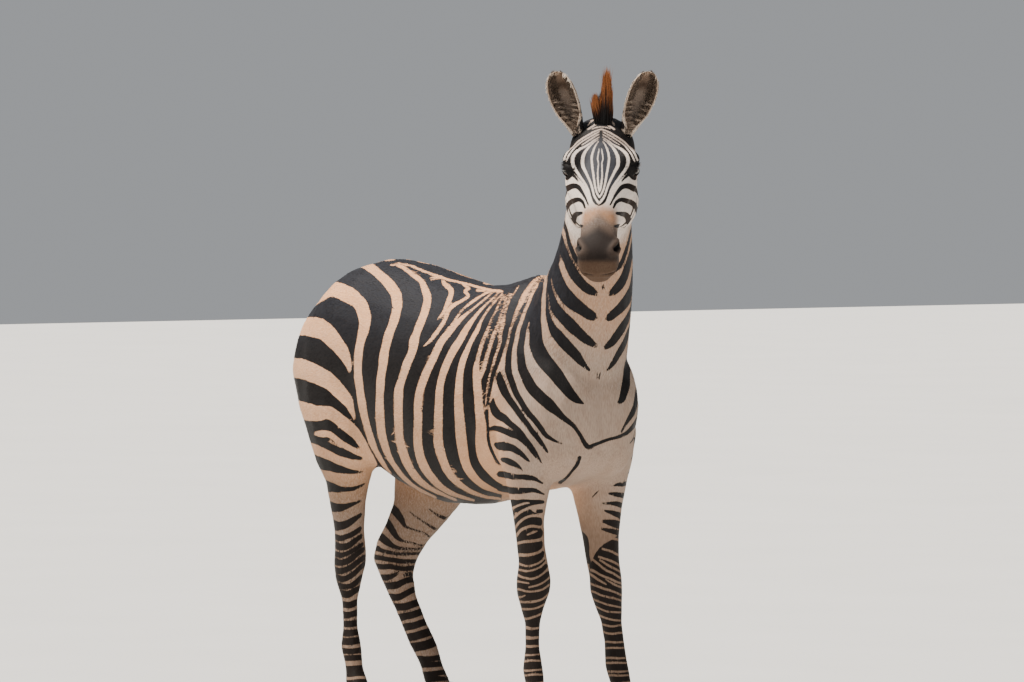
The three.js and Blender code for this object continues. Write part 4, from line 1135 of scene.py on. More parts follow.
@dataclass
class Ear:
    """One ear: a cupped leaf of skin, open to the front, with a thick rim and a rolled base."""

    side: Side
    length: float = 0.171
    half_width: float = 0.041
    wall: float = 0.0032
    rows: int = 34
    columns: int = 25
    shares: tuple[tuple[float, float], ...] = (
        (0.0, 0.40), (0.14, 0.58), (0.32, 0.84), (0.52, 1.0), (0.70, 1.0), (0.84, 0.86), (0.94, 0.60), (0.98, 0.40),
        (1.0, 0.10),
    )

    def frame(self, part: float) -> tuple[np.ndarray, np.ndarray, np.ndarray]:
        """Returns the middle of the ear at a share of its length, and its directions across and back."""
        s = self.side.value
        middle = HEAD.place(s * (0.062 + 0.088 * part - 0.026 * part * part), 0.024, 0.034)
        yaw = math.radians(HEAD.yaw - s * 14.0)
        back = np.array((math.sin(yaw), math.cos(yaw), 0.0))
        across = np.array((math.cos(yaw), -math.sin(yaw), 0.0))
        middle = middle + np.array((0.0, 0.0, 1.0)) * (self.length * 1.04 * part - 0.012) + back * 0.006 * part
        return middle, across, back

    def surface(self, part: float, turn: float, inset: float) -> np.ndarray:
        """Returns a place on the leaf.

        Args:
            part: Share of the length, from the base.
            turn: From -1 at one edge to 1 at the other.
            inset: How far inside the outer face.

        Returns:
            The place in the frame.
        """
        middle, across, back = self.frame(part)
        knots = np.array(self.shares)
        share = float(np.interp(part, knots[:, 0], knots[:, 1]))
        half = max(self.half_width * share - inset, 0.0012)
        closed = 1.0 - float(ease(0.05, 0.42, np.array(part)))
        angle = turn * math.radians(104.0 + 58.0 * closed)
        depth = half * (0.78 - 0.10 * part)
        return middle + across * (half * math.sin(angle)) + back * (depth * math.cos(angle) - 0.002)

    def build(self) -> tuple[np.ndarray, list[tuple[int, ...]], np.ndarray]:
        """Builds the leaf.

        Returns:
            Its points, its faces, and for each point the share of length, the turn and whether it is inside.
        """
        points, places = [], []
        parts = [(i / (self.rows - 1)) ** 0.92 for i in range(self.rows)]
        turns = [2.0 * j / (self.columns - 1) - 1.0 for j in range(self.columns)]
        for inside in (0.0, 1.0):
            for part in parts:
                for turn in turns:
                    points.append(self.surface(part, turn, self.wall * inside))
                    places.append((part, turn, inside))
        n, m = self.rows, self.columns
        faces = []
        for i in range(n - 1):
            for j in range(m - 1):
                a = i * m + j
                faces.append((a, a + 1, a + m + 1, a + m))
                b = n * m + a
                faces.append((b, b + m, b + m + 1, b + 1))
        for i in range(n - 1):
            for j in (0, m - 1):
                a, b = i * m + j, n * m + i * m + j
                quad = (a, a + m, b + m, b) if j == 0 else (a, b, b + m, a + m)
                faces.append(quad)
        for j in range(m - 1):
            top = (n - 1) * m + j
            faces.append((top, top + 1, n * m + top + 1, n * m + top))
            faces.append((j, n * m + j, n * m + j + 1, j + 1))
        return np.array(points), faces, np.array(places)


@dataclass
class Lids:
    """The lids of one eye: a soft almond ring that lies on the ball and sinks into the skin."""

    side: Side
    middle: Triple = (0.0815, 0.153, 0.023)
    ball: float = 0.0205
    steps: int = 40
    # share of the slit's size, height off the ball, for each ring from the slit outwards
    rings: tuple[tuple[float, float], ...] = (
        (1.00, 0.0002), (1.03, 0.0016), (1.12, 0.0026), (1.28, 0.0030), (1.44, 0.0022), (1.58, 0.0028),
        (1.80, 0.0018), (2.05, -0.0015), (2.35, -0.0060),
    )

    def axes(self) -> tuple[np.ndarray, np.ndarray, np.ndarray, np.ndarray]:
        """Returns the ball's middle, and its directions forward along the face, up, and out."""
        s = self.side.value
        left, along, up = HEAD.axes()
        out = unit(left * s * 0.93 + up * 0.20 + along * 0.10)
        tilt = unit(along - up * 0.10)
        forward = unit(tilt - out * (tilt @ out))
        high = np.cross(out, forward) * (-1.0 if s > 0 else 1.0)
        if high @ up < 0:
            high = -high
        return HEAD.place(s * self.middle[0], self.middle[1], self.middle[2]), forward, high, out

    def build(self) -> tuple[np.ndarray, list[tuple[int, ...]]]:
        """Builds the ring of both lids and returns its points and faces."""
        centre, forward, high, out = self.axes()
        points = []
        for share, lift in self.rings:
            for k in range(self.steps):
                angle = 2.0 * math.pi * k / self.steps
                c, s = math.cos(angle), math.sin(angle)
                x = 0.0185 * c * (1.0 + 0.10 * max(c, 0.0))
                y = (0.0112 if s > 0 else 0.0088) * math.copysign(abs(s) ** 1.15, s) - 0.0018 * max(c, 0.0) ** 2
                spread = np.array((x, y)) * (1.0 + (share - 1.0) * 0.78)
                if s > 0:
                    spread[1] *= 1.0 + 0.25 * (share - 1.0)
                radius = self.ball + lift
                flat = min(float(spread @ spread), (0.93 * radius) ** 2)
                height = math.sqrt(radius * radius - flat)
                height -= max(math.hypot(*spread) - 0.93 * radius, 0.0) * 0.9
                points.append(centre + forward * spread[0] + high * spread[1] + out * height)
        faces = tube_faces(len(self.rings), self.steps)
        flip = np.cross(points[1] - points[0], points[self.steps] - points[0]) @ out
        if flip > 0:
            faces = [face[::-1] for face in faces]
        return np.array(points), faces


@dataclass(frozen=True)
class Tints:
    """The coat's colours, as linear red, green and blue, and where each lies; they carry painted light and shade, and a
    painted sheen on some blacks.
    """

    # Pale ground: the coat's own buff tone with painted light and shade, brightest on the back and darker on flank,
    # throat, chest, belly and legs
    back: Triple = (0.80, 0.425, 0.215)
    flank: Triple = (0.62, 0.365, 0.215)
    belly: Triple = (0.34, 0.200, 0.115)
    chest: Triple = (0.37, 0.280, 0.220)
    leg: Triple = (0.24, 0.165, 0.118)
    face: Triple = (0.80, 0.71, 0.64)
    nose: Triple = (0.37, 0.200, 0.110)
    bridge: Triple = (0.120, 0.088, 0.070)
    throat: Triple = (0.46, 0.290, 0.190)
    muzzle: Triple = (0.019, 0.0135, 0.0115)
    # painted shade: near black in the nostril openings and the mouth's crease
    nostril: Triple = (0.004, 0.003, 0.003)
    chin: Triple = (0.085, 0.052, 0.034)
    black: Triple = (0.0060, 0.0050, 0.0050)
    # painted sky sheen: bluish black on the back's upward faces
    black_back_sky_sheen: Triple = (0.015, 0.016, 0.021)
    black_leg: Triple = (0.010, 0.0065, 0.0048)
    crown: Triple = (0.50, 0.40, 0.34)
    # painted bluish sheen on the forehead's dark bands
    black_brow_sheen: Triple = (0.052, 0.055, 0.068)
    black_cheek: Triple = (0.026, 0.016, 0.012)

    def over(self, points: np.ndarray, normals: np.ndarray) -> tuple[np.ndarray, np.ndarray]:
        """Works out the pale and the dark colour at each point.

        Args:
            points: Places in the frame.
            normals: The surface's direction at each.

        Returns:
            The pale and the dark colour, one row each.
        """
        raw = points - ORIGIN
        local = HEAD.local(points)

        def mix(base: np.ndarray, tint: Triple, share: np.ndarray) -> np.ndarray:
            return base + (np.array(tint) - base) * share[:, None]

        pale = np.tile(np.array(self.flank), (len(points), 1))
        # Painted light and shade on the pale ground: lighter on the lit back, darker on the belly, the front of neck
        # and chest, and the legs.
        pale = mix(pale, self.back, ease(0.95, 1.20, raw[:, 2]) * ease(-0.55, -0.30, raw[:, 1]))
        pale = mix(pale, self.belly, ease(0.74, 0.60, raw[:, 2]) * ease(-0.45, -0.2, raw[:, 1]))
        front = ease(-0.36, -0.52, raw[:, 1]) * ease(0.45, 0.62, raw[:, 2])
        pale = mix(pale, self.throat, front)
        pale = mix(pale, self.chest, front * ease(1.16, 0.98, raw[:, 2]))
        pale = mix(pale, self.leg, ease(0.66, 0.52, raw[:, 2]))
        head = along_face(local)
        pale = mix(pale, self.face, head)
        pale = mix(pale, self.crown, head * ease(0.13, 0.07, local[:, 1]) * ease(-0.02, 0.02, local[:, 2]))
        outward = np.abs(local[:, 0])
        nose = ease(0.280, 0.330, local[:, 1]) * ease(0.064, 0.036, outward + 0.5 * np.maximum(-local[:, 2], 0))
        pale = mix(pale, self.nose, nose * head)
        down = local[:, 1] - 0.15 * local[:, 2] + 0.7 * np.maximum(0.03 - outward, 0)
        pale = mix(pale, self.bridge, ease(0.328, 0.372, down) * head)
        muzzle = ease(0.372, 0.420, down)
        pale = mix(pale, self.muzzle, muzzle * head)
        chin = np.maximum(ease(0.462, 0.484, local[:, 1] - 0.94 * local[:, 2]) * ease(0.36, 0.42, local[:, 1]),
                          ease(-0.026, -0.040, local[:, 2]) * ease(0.34, 0.40, local[:, 1]))
        pale = mix(pale, self.chin, chin * head)
        forms = HeadForms()
        half = np.stack((outward, local[:, 1], local[:, 2]), axis=1)
        slit = forms.gap(half, forms.nostril)
        rim = np.exp(-(((slit - 0.0155) / 0.0040) ** 2)) * 0.55
        pale = mix(pale, self.bridge, rim * ease(0.39, 0.43, local[:, 1]))
        # Painted shade in the nostrils' openings and along the mouth's crease.
        pale = mix(pale, self.nostril, ease(0.0115, 0.0065, slit))
        pale = mix(pale, self.nostril, ease(0.0035, 0.0012, forms.gap(half, forms.mouth)) * 0.8)
        black = np.tile(np.array(self.black), (len(points), 1))
        # Painted sky sheen: the back's blacks turn bluish where they face up.
        top = ease(0.95, 1.2, raw[:, 2]) * ease(-0.1, 0.5, normals[:, 2] + 0.4)
        black = mix(black, self.black_back_sky_sheen, top * (1 - head))
        black = mix(black, self.black_leg, ease(0.66, 0.5, raw[:, 2]))
        black = mix(black, self.black_cheek, head * ease(0.045, 0.075, outward) * ease(0.03, 0.0, local[:, 2]))
        # Painted bluish sheen on the upper forehead's dark bands.
        brow = ease(0.05, 0.11, local[:, 1]) * ease(0.29, 0.20, local[:, 1]) * ease(0.060, 0.030, outward)
        black = mix(black, self.black_brow_sheen, brow * head * ease(0.0, 0.03, local[:, 2]) * 0.75)
        return pale, black


class Value:
    """A shader socket that takes part in Python sums; each operator adds a Math node."""

    def __init__(self, graph: "Graph", socket: bpy.types.NodeSocket) -> None:
        """Wraps a socket of a graph."""
        self.graph = graph
        self.socket = socket

    def _with(self, operation: str, *others: "Value | float") -> "Value":
        """Returns a Math node of this value and others."""
        return self.graph.node("ShaderNodeMath", {"operation": operation}, dict(enumerate((self, *others))))

    def __add__(self, other: "Value | float") -> "Value":
        """Adds."""
        return self._with("ADD", other)

    def __mul__(self, other: "Value | float") -> "Value":
        """Multiplies."""
        return self._with("MULTIPLY", other)

    def __sub__(self, other: "Value | float") -> "Value":
        """Subtracts."""
        return self._with("SUBTRACT", other)

    def between(self, low: float, high: float) -> "Value":
        """Rises from 0 at low to 1 at high."""
        settings = {"interpolation_type": "SMOOTHSTEP"}
        return self.graph.node("ShaderNodeMapRange", settings, {0: self, 1: low, 2: high, 3: 0.0, 4: 1.0})


class Graph:
    """One material's nodes, behind a Principled shader."""

    def __init__(self, name: str, **fixed: float | tuple[float, ...]) -> None:
        """Makes the material.

        Args:
            name: Its name.
            fixed: Values set on the shader's own sockets, with _ for spaces.
        """
        self.material = bpy.data.materials.new(name)
        self.material.use_nodes = True
        self.tree = self.material.node_tree
        self.shader = self.tree.nodes["Principled BSDF"]
        for key, value in fixed.items():
            self.shader.inputs[key.replace("_", " ")].default_value = value

    def node(self, kind: str, settings: dict[str, object], inputs: dict[int | str, object],
             out: int | str = 0) -> Value:
        """Adds a node.

        Args:
            kind: The node's type.
            settings: Its properties, set first.
            inputs: The values or links of its sockets.
            out: Which output is returned.

        Returns:
            The chosen output.
        """
        node = self.tree.nodes.new(kind)
        for key, value in settings.items():
            setattr(node, key, value)
        for key, value in inputs.items():
            if isinstance(value, Value):
                self.tree.links.new(value.socket, node.inputs[key])
            else:
                node.inputs[key].default_value = value
        return Value(self, node.outputs[out])

    def attribute(self, name: str, out: str = "Fac") -> Value:
        """Reads one of the mesh's own attributes."""
        return self.node("ShaderNodeAttribute", {"attribute_name": name}, {}, out)

    def stretched(self, scale: Triple, turn: Triple = (0, 0, 0)) -> Value:
        """Returns Object coordinates, turned and scaled."""
        place = self.node("ShaderNodeTexCoord", {}, {}, "Object")
        sizes = tuple(1.0 / s for s in scale)
        return self.node("ShaderNodeMapping", {"vector_type": "TEXTURE"}, {0: place, 2: turn, 3: sizes})

    def noise(self, at: Value, scale: float, detail: float = 2.0) -> Value:
        """Returns cloudy noise."""
        return self.node("ShaderNodeTexNoise", {}, {"Vector": at, "Scale": scale, "Detail": detail}, "Fac")

    def mix(self, share: "Value | float", a: object, b: object, blend: str = "MIX") -> Value:
        """Mixes two colours."""
        settings = {"data_type": "RGBA", "blend_type": blend}
        return self.node("ShaderNodeMix", settings, {0: share, 6: a, 7: b}, 2)

    def mix_number(self, share: Value, a: object, b: object) -> Value:
        """Mixes two numbers."""
        return self.node("ShaderNodeMix", {"data_type": "FLOAT"}, {0: share, 2: a, 3: b}, 0)

    def feed(self, socket: str, value: Value) -> None:
        """Links a value to one of the shader's sockets."""
        self.tree.links.new(value.socket, self.shader.inputs[socket])

    def bump(self, height: Value, distance: float, strength: float = 1.0) -> None:
        """Feeds a height to the shader as bump."""
        inputs = {"Height": height, "Distance": distance, "Strength": strength}
        self.feed("Normal", self.node("ShaderNodeBump", {}, inputs))


def paint_attribute(mesh: bpy.types.Mesh, name: str, values: np.ndarray) -> None:
    """Writes numbers or colours to a mesh's points.

    Args:
        mesh: The mesh.
        name: The attribute's name.
        values: One number, or one row of red, green and blue, for each point.
    """
    if values.ndim == 1:
        mesh.attributes.new(name, "FLOAT", "POINT").data.foreach_set("value", values.astype(np.float32))
        return
    rgba = np.concatenate((values, np.ones((len(values), 1))), axis=1)
    mesh.attributes.new(name, "FLOAT_COLOR", "POINT").data.foreach_set("color", rgba.astype(np.float32).ravel())


@dataclass(frozen=True)
class CoatFinish:
    """Short hair that lies flat: the marks' two colours, broken by fine streaks along the lie."""

    edge: float = 0.0009  # half width of the mark's edge, in metres
    roughness: float = 0.62

    def material(self, name: str) -> bpy.types.Material:
        """Builds the finish."""
        graph = Graph(name, Roughness=self.roughness, Specular_IOR_Level=0.12)
        trunk = graph.noise(graph.stretched((1.0, 0.16, 0.8)), 420.0)
        legs = graph.noise(graph.stretched((1.0, 1.0, 0.14)), 420.0)
        face = graph.noise(graph.stretched((1.0, 0.15, 1.0), (math.radians(-45), 0.0, math.radians(-36))), 460.0)
        down = graph.attribute("lie_down")
        streak = graph.mix_number(graph.attribute("lie_face"), graph.mix_number(down, trunk, legs), face)
        broad = graph.noise(graph.stretched((1.0, 0.5, 0.7)), 26.0, 3.0)
        ragged = graph.attribute("ink") + (streak - 0.5) * 0.0016 + (broad - 0.5) * 0.0008
        share = ragged.between(-self.edge, self.edge)
        light = graph.attribute("pale", "Color")
        light = graph.mix(streak.between(0.25, 0.75) * 0.34, light, (0.30, 0.19, 0.12, 1), "MULTIPLY")
        light = graph.mix(broad.between(0.35, 0.75) * 0.22, light, (0.62, 0.44, 0.31, 1), "MULTIPLY")
        deep = graph.mix(streak.between(0.45, 0.8) * 0.4, graph.attribute("dark", "Color"), (0.024, 0.019, 0.018, 1))
        graph.feed("Base Color", graph.mix(share, light, deep))
        graph.feed("Roughness", graph.mix_number(share, streak * 0.14 + 0.62, streak * 0.18 + 0.50))
        graph.bump(streak * 0.7 + broad * 0.5, 0.0016, 0.55)
        return graph.material


@dataclass
class Eye:
    """One eyeball: dark brown iris, long level pupil and a clear bright cornea."""

    side: Side
    node: str
    radius: float = 0.0204
    bulge: float = 0.0016  # how far the cornea stands out of the ball

    def build(self) -> bpy.types.Object:
        """Builds the ball in the place of its solid."""
        centre, forward, high, out = Lids(self.side).axes()
        bpy.ops.mesh.primitive_uv_sphere_add(segments=48, ring_count=32, radius=self.radius)
        ball = bpy.context.active_object
        ball.name = f"zebra_{self.node}"
        mesh = ball.data
        points = coordinates(mesh)
        points[:, 2] += self.bulge * ease(0.0130, self.radius, points[:, 2])
        turn = np.stack((forward, high if np.cross(forward, high) @ out > 0 else -high, out))
        move_points(mesh, points @ turn + centre)
        bpy.ops.object.shade_smooth()
        for name, values in zip(("across", "upward", "outward"), points.T):
            paint_attribute(mesh, name, values)
        return ball

    @staticmethod
    def material() -> bpy.types.Material:
        """Builds the eye's finish."""
        graph = Graph("zebra_eye", Roughness=0.06, Specular_IOR_Level=0.6, Coat_Weight=1.0, Coat_Roughness=0.02)
        across, upward = graph.attribute("across"), graph.attribute("upward")
        wide = across * across * 6400.0 + upward * upward * 30000.0
        pupil = wide.between(1.25, 0.75)
        rays = graph.noise(graph.stretched((1.0, 1.0, 1.0)), 900.0)
        iris = graph.mix(rays, (0.030, 0.013, 0.006, 1), (0.085, 0.038, 0.016, 1))
        white = graph.attribute("outward").between(0.0125, 0.0100)
        body = graph.mix(pupil, iris, (0.004, 0.004, 0.006, 1))
        graph.feed("Base Color", graph.mix(white, body, (0.060, 0.036, 0.026, 1)))
        return graph.material


@dataclass
class Hoof:
    """One hoof: a ridged wall of horn, longer at the toe, with a flat sole and soft heels."""

    name: str
    x: float
    y: float
    yaw: float
    top: float = 0.054
    width: float = 0.088
    length: float = 0.104
    around: int = 72
    levels: int = 26
    band: float = 0.0012  # how far the soft band at the top stands out
    ridge: float = 0.00045  # height of the growth rings
    notch_at: float = 1.5 * math.pi  # the cleft between the heels

    def build(self) -> bpy.types.Object:
        """Builds the hoof in the place of its solid."""
        turn = math.radians(self.yaw)
        ahead = np.array((-math.sin(turn), -math.cos(turn), 0.0))
        across = np.array((math.cos(turn), -math.sin(turn), 0.0))
        middle = np.array((self.x, self.y, 0.0)) + ORIGIN
        foot = [0.0, 0.0006, 0.002]
        wall = [foot[-1] + (self.top - foot[-1]) * i / (self.levels - 4) for i in range(1, self.levels - 3)]
        heights = [*foot, *wall, self.top + 0.004]
        points = []
        for level, z in enumerate(heights):
            part = min(z / self.top, 1.0)
            share = 0.995 - 0.135 * part
            forward = 0.017 - 0.016 * part
            if level == 0:
                share -= 0.02
            for k in range(self.around):
                angle = 2.0 * math.pi * k / self.around
                c, s = math.cos(angle), math.sin(angle)
                ridge = self.ridge * math.sin(z * 900.0 + 0.6 * math.sin(angle * 3.0)) * (0.04 < part < 0.9)
                heel = ease(-0.55, -1.0, np.array(s))
                radius_x = self.width / 2 * share * (1.0 + 0.05 * s) + ridge
                radius_y = self.length / 2 * share * (1.0 - 0.10 * heel) + ridge
                band = self.band * math.exp(-(((z - self.top) / 0.004) ** 2))
                notch = 1.0 - 0.10 * math.exp(-((angle - self.notch_at) / 0.28) ** 2)
                at = middle + ahead * (forward + (radius_y + band) * s * notch) + across * (radius_x + band) * c
                points.append(at + np.array((0.0, 0.0, z)))
        n = self.around
        faces = tube_faces(len(heights), n)
        base = len(points)
        rim = np.array(points[:n])
        centre = rim.mean(axis=0)
        for share in (0.72, 0.4):
            points.extend(centre + (rim - centre) * share)
        points.append(centre)
        for outer, inner in ((0, base), (base, base + n)):
            for k in range(n):
                faces.append((outer + k, inner + k, inner + (k + 1) % n, outer + (k + 1) % n))
        for k in range(n):
            faces.append((base + n + k, len(points) - 1, base + n + (k + 1) % n))
        points.append(centre + np.array((0.0, 0.0, self.top + 0.010)) - ahead * 0.012)
        top = (len(heights) - 1) * n
        for k in range(n):
            faces.append((top + k, top + (k + 1) % n, len(points) - 1))
        item = make_object(f"zebra_{self.name}", np.array(points), faces)
        bm = bmesh.new()
        bm.from_mesh(item.data)
        bmesh.ops.recalc_face_normals(bm, faces=bm.faces)
        bm.to_mesh(item.data)
        bm.free()
        return item

    @staticmethod
    def material() -> bpy.types.Material:
        """Builds the horn's finish: dark, with growth rings, scuffs and dust near the ground."""
        graph = Graph("zebra_horn", Specular_IOR_Level=0.4)
        rings = graph.noise(graph.stretched((0.1, 0.1, 1.0)), 520.0, 3.0)
        fibres = graph.noise(graph.stretched((1.0, 1.0, 0.08)), 700.0, 2.0)
        scuff = graph.noise(graph.stretched((1.0, 1.0, 1.0)), 90.0, 4.0)
        place = graph.node("ShaderNodeTexCoord", {}, {}, "Object")
        height = graph.node("ShaderNodeSeparateXYZ", {}, {0: place}, "Z")
        horn = graph.mix(rings, (0.018, 0.015, 0.013, 1), (0.050, 0.041, 0.034, 1))
        horn = graph.mix(fibres.between(0.4, 0.8) * 0.4, horn, (0.080, 0.066, 0.055, 1))
        dust = height.between(0.024, 0.0) * scuff.between(0.35, 0.65) * 0.6
        graph.feed("Base Color", graph.mix(dust, horn, (0.26, 0.20, 0.15, 1)))
        graph.feed("Roughness", rings * 0.2 + scuff * 0.2 + 0.34)
        graph.bump(rings * 0.8 + fibres * 0.3 + scuff * 0.3, 0.0012, 0.6)
        return graph.material


HOOVES = (
    Hoof("hoof_fore_left", 0.149, -0.528, -14.0),
    Hoof("hoof_fore_right", -0.121, -0.500, 4.0),
    Hoof("hoof_hind_left", 0.122, 0.400, -26.0),
    Hoof("hoof_hind_right", -0.121, 0.445, 10.0),
)


@dataclass(frozen=True)
class Lamp:
    """One far soft light: where it shines from, its strength, its width in degrees and its colour."""

    name: str
    place: Triple
    strength: float
    spread: float
    colour: Triple

    def hang(self) -> None:
        """Adds the light to the scene."""
        data = bpy.data.lights.new(self.name, "SUN")
        data.energy = self.strength
        data.angle = math.radians(self.spread)
        data.color = self.colour
        lamp = bpy.data.objects.new(self.name, data)
        lamp.location = self.place
        lamp.rotation_euler = (-Vector(self.place)).to_track_quat("-Z", "Y").to_euler()
        bpy.context.scene.collection.objects.link(lamp)


@dataclass(frozen=True)
class Studio:
    """The floor, the soft lights and the camera."""

    lamps: tuple[Lamp, ...] = (
        Lamp("key", (-2.6, 1.9, 7.0), 9.0, 10.0, (1.0, 0.94, 0.86)),
        Lamp("fill", (-3.5, -9.0, 4.5), 0.45, 50.0, (0.96, 0.98, 1.0)),
    )
    sky: tuple[float, float, float, float] = (0.90, 0.93, 0.97, 1.0)
    sky_strength: float = 0.38

    def build(self) -> None:
        """Places the floor, lights, world and camera."""
        self._floor()
        for lamp in self.lamps:
            lamp.hang()
        world = bpy.data.worlds.new("studio")
        bpy.context.scene.world = world
        world.use_nodes = True
        colour, strength = world.node_tree.nodes["Background"].inputs[:2]
        colour.default_value = self.sky
        strength.default_value = self.sky_strength
        self._camera()

    @staticmethod
    def _floor() -> None:
        """Lays a wide plain floor."""
        bpy.ops.mesh.primitive_plane_add(size=60.0)
        floor = bpy.context.active_object
        floor.name = "floor"
        graph = Graph("floor", Roughness=0.85)
        cloud = graph.noise(graph.stretched((1.0, 1.0, 1.0)), 1.5)
        graph.feed("Base Color", graph.mix(cloud, (0.60, 0.59, 0.57, 1), (0.66, 0.65, 0.63, 1)))
        floor.data.materials.append(graph.material)

    @staticmethod
    def _camera() -> None:
        """Stands the camera at the drawing sheet's own viewpoint."""
        data = bpy.data.cameras.new("camera")
        data.lens = SHEET.focal * data.sensor_width / SHEET.width
        data.clip_start = 1.0
        data.clip_end = 120.0
        camera = bpy.data.objects.new("camera", data)
        camera.location = SHEET.eye
        look = Vector(SHEET.target) - Vector(SHEET.eye)
        camera.rotation_euler = look.to_track_quat("-Z", "Y").to_euler()
        bpy.context.scene.collection.objects.link(camera)
        bpy.context.scene.camera = camera


def lies(points: np.ndarray) -> tuple[np.ndarray, np.ndarray]:
    """Returns how far the hair lies downwards, and how far along the face, at each point."""
    raw = points - ORIGIN
    down = np.maximum(ease(0.86, 0.66, raw[:, 2]), ease(-0.34, -0.50, raw[:, 1]))
    return down, along_face(HEAD.local(points))


@dataclass(frozen=True)
class Unwrap:
    """Lays the skin out flat: trunk, neck and head round their own axis, and each leg round its middle."""

    length: float = 2.9  # of the axis from tail to muzzle
    leg_middles: tuple[tuple[float, float], ...] = ((0.128, -0.460), (-0.116, -0.455), (0.118, 0.500), (-0.122, 0.490))

    def place(self, points: np.ndarray) -> np.ndarray:
        """Returns where each point of the skin lies on the layout, within 0 to 1."""
        centre, left = MIDPLANE.nearest(points)
        rows = np.array(MIDPLANE.stations)[:, :3] + ORIGIN
        gap = points - centre
        across = np.sum(gap * left, axis=1)
        upward = gap - across[:, None] * left
        high = np.where(upward[:, 2] > 0, 1.0, -1.0) * np.linalg.norm(upward, axis=1)
        angle = np.arctan2(across, high) / (2.0 * math.pi) + 0.5
        travelled = np.zeros(len(points))
        best = np.full(len(points), 1e9)
        total = 0.0
        for a, b in zip(rows, rows[1:]):
            long = float(np.linalg.norm(b - a))
            t, away = nearest_on(points, a, b)
            closer = away < best
            best[closer] = away[closer]
            travelled[closer] = (total + t * long)[closer]
            total += long
        uv = np.stack((0.01 + 0.98 * travelled / total, 0.01 + 0.62 * angle), axis=1)
        raw = points - ORIGIN
        leg = (raw[:, 2] < LEG_TOP) & (np.abs(raw[:, 1]) > 0.2)
        for i, (x, y) in enumerate(self.leg_middles):
            own = leg & ((raw[:, 0] > 0) == (x > 0)) & ((raw[:, 1] > 0) == (y > 0))
            round_leg = np.arctan2(raw[own, 0] - x, raw[own, 1] - y) / (2.0 * math.pi) + 0.5
            uv[own] = np.stack((0.01 + 0.24 * i + 0.23 * round_leg, 0.66 + 0.33 * raw[own, 2] / 0.68), axis=1)
        return uv


UNWRAP = Unwrap()


@dataclass
class Hair:
    """Many thin blades in one mesh: each bends from its root to a point, and carries its root's colours."""

    name: str
    levels: int = 3
    patch: float = 0.003

    def build(
        self,
        roots: np.ndarray,
        heading: np.ndarray,
        face: np.ndarray,
        length: np.ndarray,
        width: np.ndarray,
        droop: np.ndarray,
        marks: dict[str, np.ndarray],
        layout: np.ndarray,
        ink_run: np.ndarray | None = None,
    ) -> bpy.types.Object:
        """Builds the blades.

        Args:
            roots: Where each blade starts.
            heading: Which way it sets off.
            face: The direction that its flat side faces.
            length: Its length.
            width: Its width at the root.
            droop: How far its tip is carried, in shares of its length.
            marks: Named numbers or colours for each blade.
            layout: Its root's place on the skin's layout.
            ink_run: How much the ink changes from its root to its tip.

        Returns:
            The mesh object.
        """
        count = len(roots)
        per = 2 * self.levels + 1
        across = unit(np.cross(heading, face))
        verts = np.empty((count, per, 3))
        patch = np.empty((count, per, 2))
        rise = np.empty((count, per))
        for level in range(self.levels + 1):
            t = level / self.levels
            middle = roots + heading * (length * t)[:, None] + droop * (length * t * t)[:, None]
            half = (width * 0.5 * (1.0 - t) ** 0.7)[:, None]
            if level == self.levels:
                verts[:, -1] = middle
                patch[:, -1] = (0.5, 1.0)
                rise[:, -1] = 1.0
                continue
            for side, sign in enumerate((-1.0, 1.0)):
                verts[:, 2 * level + side] = middle + across * half * sign
                patch[:, 2 * level + side] = (0.5 + 0.5 * sign * (1.0 - t), t)
                rise[:, 2 * level + side] = t
        quads = np.array([(2 * i, 2 * i + 1, 2 * i + 3, 2 * i + 2) for i in range(self.levels - 1)]).reshape(-1, 4)
        tip = np.array((per - 3, per - 2, per - 1))
        starts = np.arange(count) * per
        loops = np.concatenate([starts[:, None] + corners for corners in (*quads, tip)], axis=1)
        sizes = np.tile(np.array([4] * len(quads) + [3]), count)
        item = self._mesh(verts.reshape(-1, 3), loops.ravel(), sizes)
        mesh = item.data
        for key, values in marks.items():
            spread = np.repeat(values, per, axis=0)
            if key == "ink" and ink_run is not None:
                spread = spread + np.repeat(ink_run, per) * rise.ravel()
            paint_attribute(mesh, key, spread)
        paint_attribute(mesh, "rise", rise.ravel())
        uv = layout[:, None, :] + (patch - 0.5) * self.patch
        uv = uv.reshape(-1, 2)[loops.ravel()]
        mesh.uv_layers.new(name="OFBake").data.foreach_set("uv", uv.astype(np.float32).ravel())
        return item

    def _mesh(self, verts: np.ndarray, loops: np.ndarray, sizes: np.ndarray) -> bpy.types.Object:
        """Makes the mesh object from flat lists of points, corners and face sizes."""
        mesh = bpy.data.meshes.new(self.name)
        mesh.vertices.add(len(verts))
        mesh.vertices.foreach_set("co", verts.astype(np.float32).ravel())
        mesh.loops.add(len(loops))
        mesh.loops.foreach_set("vertex_index", loops.astype(np.int32))
        mesh.polygons.add(len(sizes))
        mesh.polygons.foreach_set("loop_start", np.concatenate(((0,), np.cumsum(sizes)[:-1])).astype(np.int32))
        mesh.update(calc_edges=True)
        mesh.shade_smooth()
        item = bpy.data.objects.new(self.name, mesh)
        bpy.context.scene.collection.objects.link(item)
        return item


